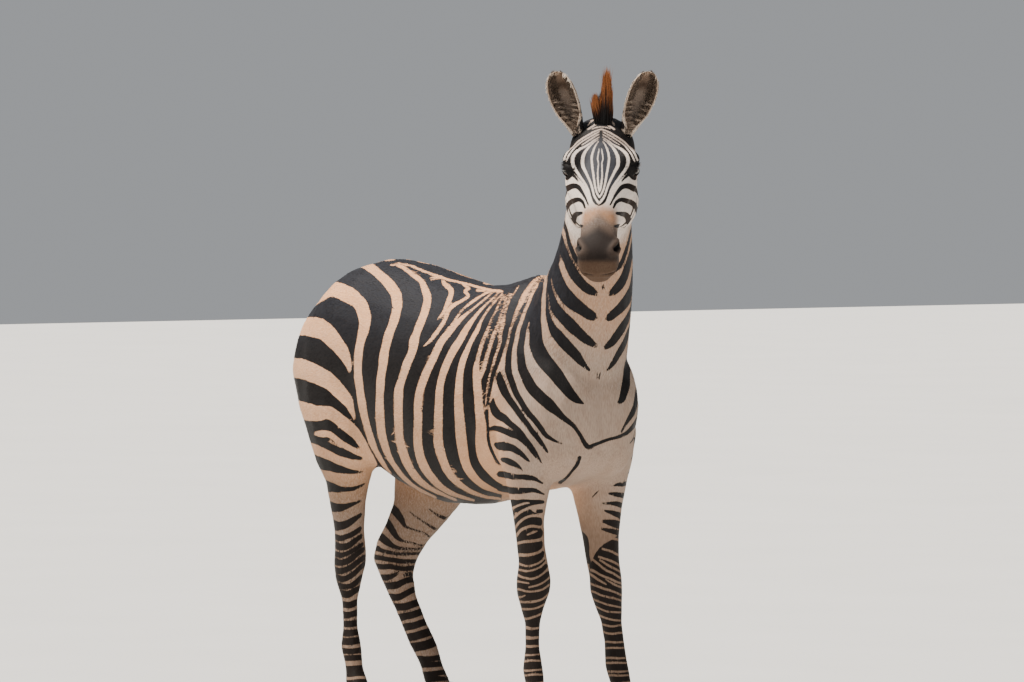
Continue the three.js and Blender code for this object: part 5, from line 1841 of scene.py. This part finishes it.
def hair_lie(points: np.ndarray, normals: np.ndarray) -> np.ndarray:
    """Returns which way the coat lies at each point of the skin.

    Args:
        points: Places in the frame.
        normals: The surface's direction at each.

    Returns:
        Unit directions along the surface.
    """
    raw = points - ORIGIN
    face = lies(points)[1]
    heading = np.tile(np.array((0.0, 0.94, -0.34)), (len(points), 1))
    neck = ease(-0.34, -0.52, raw[:, 1]) * ease(0.95, 1.15, raw[:, 2])
    leg = ease(0.86, 0.66, raw[:, 2])
    breast = ease(-0.34, -0.50, raw[:, 1]) * (1.0 - neck)
    for share, towards in ((leg, (0.0, 0.12, -1.0)), (breast, (0.0, 0.15, -1.0)), (neck, (0.05, 0.42, -0.90))):
        heading = heading + (np.array(towards) - heading) * share[:, None]
    heading = heading + (HEAD.axes()[1] - heading) * face[:, None]
    heading = heading - np.sum(heading * normals, axis=1)[:, None] * normals
    return unit(heading)


@dataclass(frozen=True)
class Patch:
    """Where on the skin one piece of the short coat grows, and how its tufts are."""

    name: str
    count: int
    length: tuple[float, float]
    width: float
    lift: float


@dataclass
class ShortCoat:
    """The flat-lying coat: thin overlapping tufts over the skin, finest on the face and feet."""

    seed: int = 7
    patches: tuple[Patch, ...] = (
        Patch("zebra_coat_trunk", 52000, (0.009, 0.014), 0.0032, 0.10),
        Patch("zebra_coat_neck", 30000, (0.010, 0.015), 0.0030, 0.12),
        Patch("zebra_coat_legs", 46000, (0.007, 0.011), 0.0024, 0.12),
        Patch("zebra_coat_head", 46000, (0.005, 0.008), 0.0017, 0.10),
    )

    @staticmethod
    def _zone(raw: np.ndarray, local: np.ndarray) -> np.ndarray:
        """Returns, for each point, which patch it belongs to."""
        zone = np.zeros(len(raw), dtype=int)
        zone[(raw[:, 1] < -0.30) & (raw[:, 2] > 0.85)] = 1
        zone[raw[:, 2] < 0.70] = 2
        head = (local[:, 1] + 0.28 * local[:, 2] > -0.02) & (local[:, 2] > -0.2) & (raw[:, 2] > 1.1)
        zone[head] = 3
        return zone

    def build(self, skin: bpy.types.Object) -> list[bpy.types.Object]:
        """Grows the coat over the skin.

        Args:
            skin: The finished skin, with its marks.

        Returns:
            One object for each patch.
        """
        mesh = skin.data
        mesh.calc_loop_triangles()
        corners = np.empty(len(mesh.loop_triangles) * 3, dtype=np.int32)
        mesh.loop_triangles.foreach_get("vertices", corners)
        corners = corners.reshape(-1, 3)
        points, normals = coordinates(mesh), directions(mesh)
        marks = {name: self._read(mesh, name) for name in ("pale", "dark", "lie_down", "lie_face")}
        a, b, c = (points[corners[:, i]] for i in range(3))
        area = np.linalg.norm(np.cross(b - a, c - a), axis=1) / 2.0
        middle = (a + b + c) / 3.0
        zone = self._zone(middle - ORIGIN, HEAD.local(middle))
        bare = self._bare(middle)
        rng = np.random.default_rng(self.seed)
        made = []
        for index, patch in enumerate(self.patches):
            weight = area * (zone == index) * bare
            chosen = rng.choice(len(area), patch.count, p=weight / weight.sum())
            share = rng.random((patch.count, 2))
            flip = share.sum(axis=1) > 1.0
            share[flip] = 1.0 - share[flip]
            bary = np.stack((1.0 - share.sum(axis=1), share[:, 0], share[:, 1]), axis=1)
            at = self._blend(points, corners[chosen], bary)
            out = unit(self._blend(normals, corners[chosen], bary))
            own = {name: self._blend(values, corners[chosen], bary) for name, values in marks.items()}
            lie = hair_lie(at, out)
            lie = unit(lie + np.cross(out, lie) * rng.normal(0.0, 0.16, (patch.count, 1)))
            rise = patch.lift + rng.uniform(-0.04, 0.08, (patch.count, 1))
            heading = unit(lie + out * rise)
            length = rng.uniform(*patch.length, patch.count)
            width = patch.width * rng.uniform(0.7, 1.25, patch.count)
            own["shade"] = rng.random(patch.count)
            layout = UNWRAP.place(at)
            droop = -out * rise * 0.35
            own["ink"] = MARKINGS.ink(at, out)
            run = MARKINGS.ink(at + heading * length[:, None], out) - own["ink"]
            blades = Hair(patch.name, 2)
            made.append(blades.build(at - out * 0.0003, heading, out, length, width, droop, own, layout, run))
        return made

    @staticmethod
    def _bare(middle: np.ndarray) -> np.ndarray:
        """Returns how thickly the coat grows at each place: not on eyes, lips and nostrils."""
        left, along, up = HEAD.local(middle).T
        eye = np.linalg.norm(np.stack((np.abs(left), along, up - 0.001), axis=1) - EYE, axis=1)
        return ease(0.018, 0.030, eye) * ease(0.390, 0.345, along)

    @staticmethod
    def _read(mesh: bpy.types.Mesh, name: str) -> np.ndarray:
        """Reads one of the skin's marks."""
        attribute = mesh.attributes[name]
        if attribute.data_type == "FLOAT":
            out = np.empty(len(mesh.vertices), dtype=np.float32)
            attribute.data.foreach_get("value", out)
            return out.astype(float)
        out = np.empty(len(mesh.vertices) * 4, dtype=np.float32)
        attribute.data.foreach_get("color", out)
        return out.reshape(-1, 4)[:, :3].astype(float)

    @staticmethod
    def _blend(values: np.ndarray, corners: np.ndarray, bary: np.ndarray) -> np.ndarray:
        """Mixes the values at the three corners of each chosen triangle."""
        parts = [values[corners[:, i]] * (bary[:, i] if values.ndim == 1 else bary[:, i : i + 1]) for i in range(3)]
        return parts[0] + parts[1] + parts[2]


@dataclass
class Mane:
    """The stiff upright mane along the crest of the neck, banded as the neck is, with dark tips."""

    # middle of the neck, its turn, how far the crest lies above it, and the mane's share of full height
    rows: tuple[tuple[float, float, float, float, float, float], ...] = (
        (0.004, -0.455, 1.010, 4.0, 0.214, 0.10),
        (0.002, -0.525, 1.120, 11.0, 0.196, 0.62),
        (-0.008, -0.592, 1.245, 19.0, 0.170, 0.90),
        (-0.030, -0.650, 1.370, 27.0, 0.142, 1.00),
        (-0.056, -0.700, 1.480, 33.0, 0.116, 1.00),
        (-0.076, -0.740, 1.580, 36.0, 0.086, 0.98),
    )
    height: float = 0.092
    half: float = 0.011
    count: int = 9500
    seed: int = 11

    def build(self) -> bpy.types.Object:
        """Builds the mane."""
        rng = np.random.default_rng(self.seed)
        rows = np.array(self.rows)
        middles = rows[:, :3]
        spans = np.gradient(middles, axis=0)
        turn = np.radians(rows[:, 3])
        across = np.stack((np.cos(turn), -np.sin(turn), np.zeros(len(rows))), axis=1)
        heading = unit(spans)
        across = unit(across - np.sum(across * heading, axis=1)[:, None] * heading)
        up = np.cross(heading, across)
        up *= np.sign(up[:, 1:2])
        crest = middles + up * rows[:, 4:5]
        end = HEAD.place(0.0, -0.010, 0.050) - ORIGIN
        crest = np.vstack((crest, end))
        up = np.vstack((up, unit(HEAD.axes()[2] * 0.7 - HEAD.axes()[1] * 0.7)))
        across = np.vstack((across, HEAD.axes()[0]))
        full = np.append(rows[:, 5], 0.95)
        at = np.sort(rng.random(self.count)) ** 0.95 * (len(crest) - 1)
        knots = np.arange(len(crest))

        def along(values: np.ndarray) -> np.ndarray:
            return np.stack([np.interp(at, knots, values[:, i]) for i in range(values.shape[1])], axis=1)

        base, rise, side = along(crest), unit(along(up)), unit(along(across))
        share = np.interp(at, knots, full)
        spread = rng.normal(0.0, 0.45, self.count).clip(-1.0, 1.0)
        root = base + side * (spread * self.half)[:, None] - rise * 0.016 + ORIGIN
        ahead = unit(np.cross(side, rise))
        ahead *= np.sign(-ahead[:, 1:2])
        clump = np.sin(at * 95.0) * 0.03 + np.sin(at * 41.0 + 1.0) * 0.03
        sway = rng.normal(0.0, 0.05, self.count) + clump
        heading = unit(rise + side * (spread * 0.16)[:, None] + ahead * sway[:, None])
        length = (self.height * share + 0.014) * rng.uniform(0.86, 1.0, self.count) * (1.0 - 0.16 * np.abs(spread))
        width = rng.uniform(0.0028, 0.0046, self.count)
        droop = ahead * rng.normal(0.03, 0.05, (self.count, 1)) + side * rng.normal(0.0, 0.03, (self.count, 1))
        skin = base + side * np.sign(spread + 1e-6)[:, None] * 0.03 - rise * 0.03 + ORIGIN
        ink = MARKINGS.ink(skin, side * np.sign(spread + 1e-6)[:, None])
        pale_tint, _ = TINTS.over(skin, side)
        marks = {"ink": ink, "pale": pale_tint, "shade": rng.random(self.count)}
        layout = UNWRAP.place(skin)
        face = unit(side + ahead * rng.normal(0.0, 0.8, (self.count, 1)))
        return Hair("zebra_mane", 5).build(root, heading, face, length, width, droop, marks, layout)


@dataclass
class Forelock:
    """The tuft between the ears: a leaning spire of stiff hair, black below and rusty at the tips."""

    count: int = 3200
    height: float = 0.178
    seed: int = 13

    def build(self) -> bpy.types.Object:
        """Builds the tuft."""
        rng = np.random.default_rng(self.seed)
        left = HEAD.axes()[0]
        yaw = math.radians(HEAD.yaw)
        front = unit(np.array((-math.sin(yaw), -math.cos(yaw), 0.0)))
        side = rng.normal(0.0, 0.42, self.count).clip(-1.0, 1.0)
        deep = rng.uniform(-1.0, 1.0, self.count)
        foot = left * (side * 0.015 + 0.003)[:, None] + front * (deep * 0.020)[:, None]
        root = HEAD.place(0.0, 0.012, 0.040) + foot
        root[:, 2] -= 0.012 + 0.010 * np.abs(side)
        low = (side < 0.05) & (rng.random(self.count) < 0.55)
        tall = self.height * (1.0 - 0.30 * np.abs(side) ** 1.3) * rng.uniform(0.62, 1.0, self.count) ** 0.8
        tall = np.where(low, self.height * 0.60 * rng.uniform(0.80, 1.0, self.count), tall)
        spread = np.where(low, -0.019 + side * 0.007, 0.012 + side * 0.016 * (1.2 - tall / self.height))
        spread += np.sin(side * 23.0) * 0.0025
        tip = left * spread[:, None] + front * (deep * 0.012 - 0.006)[:, None]
        way = tip - foot + np.array((0.0, 0.0, 1.0)) * tall[:, None]
        bow = left * (0.03 + 0.16 * side)[:, None]
        heading = way / tall[:, None] + bow + rng.normal(0.0, 0.022, (self.count, 3))
        droop = -bow + rng.normal(0.0, 0.022, (self.count, 3))
        width = rng.uniform(0.0026, 0.0044, self.count)
        face = unit(front + left * rng.normal(0.0, 0.7, (self.count, 1)))
        marks = {"shade": rng.random(self.count)}
        layout = UNWRAP.place(root)
        return Hair("zebra_forelock", 6).build(root, heading, face, tall, width, droop, marks, layout)


@dataclass
class TailTuft:
    """The long dark switch that hangs from the end of the dock."""

    # y and z of the switch's middle, and its half width there
    line: tuple[Triple, ...] = (
        (0.737, 0.800, 0.018), (0.734, 0.740, 0.024), (0.731, 0.690, 0.030), (0.726, 0.610, 0.034),
        (0.720, 0.520, 0.030), (0.716, 0.450, 0.020), (0.714, 0.400, 0.006),
    )
    count: int = 3800
    seed: int = 17

    def build(self) -> bpy.types.Object:
        """Builds the switch."""
        rng = np.random.default_rng(self.seed)
        line = np.array(self.line)
        start = rng.random(self.count) ** 1.6 * 0.62
        angle = rng.uniform(0.0, 2.0 * math.pi, self.count)
        ring = rng.random(self.count) ** 0.5
        knots = np.linspace(0.0, 1.0, len(line))

        def at(share: np.ndarray) -> tuple[np.ndarray, np.ndarray]:
            values = [np.interp(share, knots, line[:, i]) for i in range(3)]
            return np.stack((np.zeros(len(share)), values[0], values[1]), axis=1), values[2]

        middle, wide = at(start)
        out = np.stack((np.cos(angle), np.sin(angle), np.zeros(self.count)), axis=1)
        root = middle + out * (wide * ring * 0.62)[:, None] + ORIGIN
        far = np.minimum(start + rng.uniform(0.30, 0.42, self.count), 1.0)
        tip_middle, tip_wide = at(far)
        tip = tip_middle + out * (tip_wide * ring * rng.uniform(0.7, 1.1, self.count))[:, None] + ORIGIN
        way = tip - root
        length = np.linalg.norm(way, axis=1)
        bow = out * (0.10 * ring)[:, None]
        heading = way / length[:, None] + bow
        droop = -bow + rng.normal(0.0, 0.02, (self.count, 3))
        width = rng.uniform(0.0026, 0.0046, self.count)
        marks = {"shade": rng.random(self.count)}
        return Hair("zebra_tail_tuft", 6).build(root, heading, out, length, width, droop, marks, UNWRAP.place(root))


@dataclass
class EarHair:
    """The soft hair in and round one ear: a pale fringe along both edges and long hair across the hollow."""

    ear: Ear
    count: int = 3400
    inner_share: float = 0.70
    tint: Triple = (0.34, 0.262, 0.205)
    seed: int = 23

    def build(self) -> bpy.types.Object:
        """Builds the hair of the ear."""
        rng = np.random.default_rng(self.seed + int(self.ear.side.value))
        roots, headings, faces, lengths, widths, tones = [], [], [], [], [], []
        for _ in range(self.count):
            inner = rng.random() < self.inner_share
            part = rng.uniform(0.04, 0.97 if inner else 0.85)
            sign = 1.0 if rng.random() < 0.5 else -1.0
            turn = sign * (rng.uniform(0.30, 1.0) if inner else rng.uniform(0.93, 1.0))
            root = self.ear.surface(part, turn, self.ear.wall + 0.0004 if inner else 0.0)
            _, across, back = self.ear.frame(part)
            upward = unit(self.ear.frame(min(part + 0.02, 1.0))[0] - self.ear.frame(max(part - 0.02, 0.0))[0])
            if inner:
                bar = part < 0.55 and math.sin(part * 78.0 + 2.0 * turn) > 0.35
                long = 0.014 + 0.016 * (1.0 - part)
                lean = rng.uniform(0.7, 1.0) if bar else rng.uniform(0.25, 0.8)
                heading = unit(upward * (0.25 if bar else 0.75) - across * sign * lean - back * rng.uniform(0.05, 0.3))
                tones.append(-1.0 if bar else 1.0)
            else:
                long = rng.uniform(0.002, 0.004)
                heading = unit(upward * 0.9 + across * sign * 0.3 - back * 0.35)
                tones.append(-1.0)
            roots.append(root)
            headings.append(heading + rng.normal(0.0, 0.06, 3))
            faces.append(-back + across * rng.normal(0.0, 0.4))
            lengths.append(long * rng.uniform(0.7, 1.1))
            widths.append(rng.uniform(0.0009, 0.0016))
        root = np.array(roots)
        heading = unit(np.array(headings))
        droop = np.tile(np.array((0.0, 0.0, -0.12)), (len(root), 1))
        tint = np.tile(np.array(self.tint), (len(root), 1))
        marks = {"shade": rng.random(len(root)), "ink": np.array(tones), "pale": tint}
        blades = Hair(f"zebra_ear_hair_{self.ear.side.name.lower()}", 3)
        return blades.build(root, heading, unit(np.array(faces)), np.array(lengths), np.array(widths), droop, marks,
                            UNWRAP.place(root))


@dataclass
class Lashes:
    """Upper lashes of both eyes, and the whiskers of lips and chin."""

    lashes: int = 90  # for each eye
    whiskers: int = 160
    lash_width: float = 0.0009
    whisker_width: float = 0.0007
    seed: int = 29

    def build(self) -> bpy.types.Object:
        """Builds the lashes and whiskers in one piece."""
        rng = np.random.default_rng(self.seed)
        roots, headings, faces, lengths, widths = [], [], [], [], []
        for side in Side:
            lids = Lids(side)
            _, forward, high, out = lids.axes()
            rim = lids.build()[0][lids.steps : 2 * lids.steps]
            for _ in range(self.lashes):
                k = rng.uniform(0.06, 0.44) * lids.steps
                i = int(k)
                root = rim[i] + (rim[(i + 1) % lids.steps] - rim[i]) * (k - i)
                roots.append(root)
                headings.append(unit(out * 0.9 + high * 0.12 + forward * (k / lids.steps - 0.25) * -1.2 - high * 0.25))
                faces.append(high)
                lengths.append(rng.uniform(0.009, 0.014))
                widths.append(self.lash_width)
        for _ in range(self.whiskers):
            left = rng.uniform(-0.048, 0.048)
            lower = rng.random() < 0.6
            along = rng.uniform(0.43, 0.49) if lower else rng.uniform(0.455, 0.495)
            up = rng.uniform(-0.085, -0.055) if lower else rng.uniform(-0.035, -0.012)
            root = HEAD.place(left * 0.8, along - 0.012, up)
            roots.append(root)
            axes = HEAD.axes()
            headings.append(unit(axes[0] * left * 18.0 + axes[1] * 0.7 + axes[2] * (-0.9 if lower else -0.2)))
            faces.append(axes[0])
            lengths.append(rng.uniform(0.022, 0.045))
            widths.append(self.whisker_width)
        root, heading = np.array(roots), unit(np.array(headings) + rng.normal(0.0, 0.06, (len(roots), 3)))
        droop = np.tile(np.array((0.0, 0.0, 0.10)), (len(root), 1))
        marks = {"shade": rng.random(len(root))}
        return Hair("zebra_lashes", 3).build(root, heading, unit(np.array(faces)), np.array(lengths), np.array(widths),
                                             droop, marks, UNWRAP.place(root))


@dataclass(frozen=True)
class HairFinish:
    """Coarse hair that changes from root to tip, each blade a little lighter or darker than the next."""

    root: tuple[float, float, float, float]
    middle: tuple[float, float, float, float]
    tip: tuple[float, float, float, float]
    banded: bool = False

    def material(self, name: str) -> bpy.types.Material:
        """Builds the finish."""
        graph = Graph(name, Specular_IOR_Level=0.16)
        rise, shade = graph.attribute("rise"), graph.attribute("shade")
        uneven = rise + (shade - 0.5) * 0.22
        base = self.root
        if self.banded:
            share = (graph.attribute("ink") + (shade - 0.5) * 0.006).between(-0.0015, 0.0015)
            base = graph.mix(share, graph.attribute("pale", "Color"), self.root)
        body = graph.mix(uneven.between(0.30, 0.75), base, self.middle if not self.banded else base)
        ends = graph.mix(uneven.between(0.62, 0.95) if self.banded else uneven.between(0.50, 0.85), body, self.tip)
        graph.feed("Base Color", graph.mix(shade * 0.30, ends, (0.0, 0.0, 0.0, 1.0)))
        streak = graph.noise(graph.stretched((1.0, 1.0, 0.2)), 600.0)
        graph.feed("Roughness", streak * 0.2 + 0.42)
        return graph.material


@dataclass(frozen=True)
class TuftFinish:
    """The short coat's tufts: the skin's own marks, a little lighter or darker from tuft to tuft."""

    def material(self, name: str) -> bpy.types.Material:
        """Builds the finish."""
        graph = Graph(name, Specular_IOR_Level=0.10)
        shade, rise = graph.attribute("shade"), graph.attribute("rise")
        share = (graph.attribute("ink") + (shade - 0.5) * 0.0016).between(-0.0009, 0.0009)
        light = graph.mix(shade * 0.30, graph.attribute("pale", "Color"), (0.34, 0.23, 0.16, 1), "MULTIPLY")
        light = graph.mix(rise * 0.12, light, (1.0, 0.95, 0.88, 1))
        deep = graph.mix(shade * 0.5, graph.attribute("dark", "Color"), (0.024, 0.019, 0.018, 1))
        graph.feed("Base Color", graph.mix(share, light, deep))
        graph.feed("Roughness", graph.mix_number(share, 0.66, 0.50))
        return graph.material


MANE_FINISH = HairFinish((0.007, 0.006, 0.006, 1), (0.007, 0.006, 0.006, 1), (0.020, 0.013, 0.010, 1), banded=True)
FORELOCK_FINISH = HairFinish((0.006, 0.005, 0.005, 1), (0.030, 0.012, 0.007, 1), (0.330, 0.115, 0.038, 1))
TAIL_FINISH = HairFinish((0.008, 0.007, 0.007, 1), (0.007, 0.006, 0.006, 1), (0.014, 0.009, 0.007, 1))
FRINGE_FINISH = HairFinish((0.100, 0.068, 0.048, 1), (0.10, 0.068, 0.048, 1), (0.19, 0.140, 0.105, 1), banded=True)
LASH_FINISH = HairFinish((0.012, 0.010, 0.009, 1), (0.014, 0.011, 0.010, 1), (0.05, 0.04, 0.035, 1))


def dress(item: bpy.types.Object, slot: str, material: bpy.types.Material, *nodes: str) -> None:
    """Gives a piece its finish and body, hides the solids that it stands for, and reports it."""
    if not item.data.materials:
        item.data.materials.append(material)
    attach(item, "root")
    if nodes:
        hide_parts(*nodes)
    item.data.calc_loop_triangles()
    LOG.info("%s: %d triangles", item.name, len(item.data.loop_triangles))


def paint_skin(mesh: bpy.types.Mesh, own: int, ears: list[np.ndarray]) -> None:
    """Writes the skin's markings and colours.

    Args:
        mesh: The joined skin.
        own: How many of its points are skin and lids; the rest are the ears'.
        ears: For each ear, its points' share of length, turn and whether inside.
    """
    points, normals = coordinates(mesh), directions(mesh)
    ink = MARKINGS.ink(points, normals)
    pale_tint, dark_tint = TINTS.over(points, normals)
    start = own
    for places in ears:
        rows = slice(start, start + len(places))
        part, turn, inside = places.T
        edge = np.abs(turn)
        outer = np.maximum.reduce((0.10 - np.abs(part - 0.22), 0.07 - np.abs(part - 0.50), 0.10 - np.abs(part - 0.86)))
        ink[rows] = np.where(inside > 0.5, -0.05, np.minimum(outer, 0.9 - edge) * 0.08)
        inner = np.tile(np.array((0.200, 0.136, 0.098)), (len(part), 1))
        bowl = np.hypot(edge / 0.62, (part - 0.46) / 0.34)
        for share, tint in (
            (ease(1.0, 0.7, bowl), (0.225, 0.172, 0.136)),
            (np.exp(-(((bowl - 1.0) / 0.20) ** 2)) * 0.85, (0.048, 0.030, 0.020)),
            (ease(0.38, 0.14, part) * ease(1.0, 0.6, edge), (0.060, 0.043, 0.034)),
            (np.maximum(ease(0.90, 0.99, edge), ease(0.94, 0.99, part)), (0.40, 0.285, 0.205)),
        ):
            inner += (np.array(tint) - inner) * share[:, None]
        outside = np.array((0.62, 0.52, 0.43))
        pale_tint[rows] = np.where(inside[:, None] > 0.5, inner, outside)
        start += len(places)
    down, face = lies(points)
    marks = {"ink": ink, "pale": pale_tint, "dark": dark_tint, "lie_down": down, "lie_face": face}
    for name, values in marks.items():
        paint_attribute(mesh, name, values)


TINTS = Tints()


def main() -> None:
    """Builds the figure, piece by piece."""
    logging.basicConfig(level=logging.INFO, format="%(message)s")
    Studio().build()
    skin = Skin()
    body = skin.build()
    LOG.info("skin: %d points", len(body.data.vertices))
    added, ears = [], []
    for side in Side:
        verts, faces = Lids(side).build()
        added.append(make_object(f"lids_{side.name.lower()}", verts, faces))
    own = len(body.data.vertices) + sum(len(item.data.vertices) for item in added)
    for side in Side:
        verts, faces, places = Ear(side).build()
        added.append(make_object(f"ear_leaf_{side.name.lower()}", verts, faces))
        ears.append(places)
    select_only(*added, body)
    bpy.ops.object.join()
    paint_skin(body.data, own, ears)
    body.data.shade_smooth()
    finish = CoatFinish().material("zebra_coat")
    body.data.materials.clear()
    dress(body, "coat", finish, *skin.flesh, *skin.ears)
    eye_finish = Eye.material()
    for side in Side:
        name = f"eye_{side.name.lower()}"
        ball = Eye(side, name).build()
        dress(ball, "eye", eye_finish, name)
    horn = Hoof.material()
    for hoof in HOOVES:
        dress(hoof.build(), "horn", horn, hoof.name)
    tufts = TuftFinish().material("zebra_tufts")
    for piece in ShortCoat().build(body):
        dress(piece, "coat", tufts)
    dress(Mane().build(), "hair", MANE_FINISH.material("zebra_mane"), "mane")
    dress(Forelock().build(), "hair", FORELOCK_FINISH.material("zebra_forelock"), "forelock")
    dress(TailTuft().build(), "hair", TAIL_FINISH.material("zebra_tail_hair"), "tail_tuft")
    fringe = FRINGE_FINISH.material("zebra_ear_hair")
    for side in Side:
        dress(EarHair(Ear(side)).build(), "hair", fringe)
    dress(Lashes().build(), "hair", LASH_FINISH.material("zebra_lashes"))


if __name__ == "__main__":
    main()
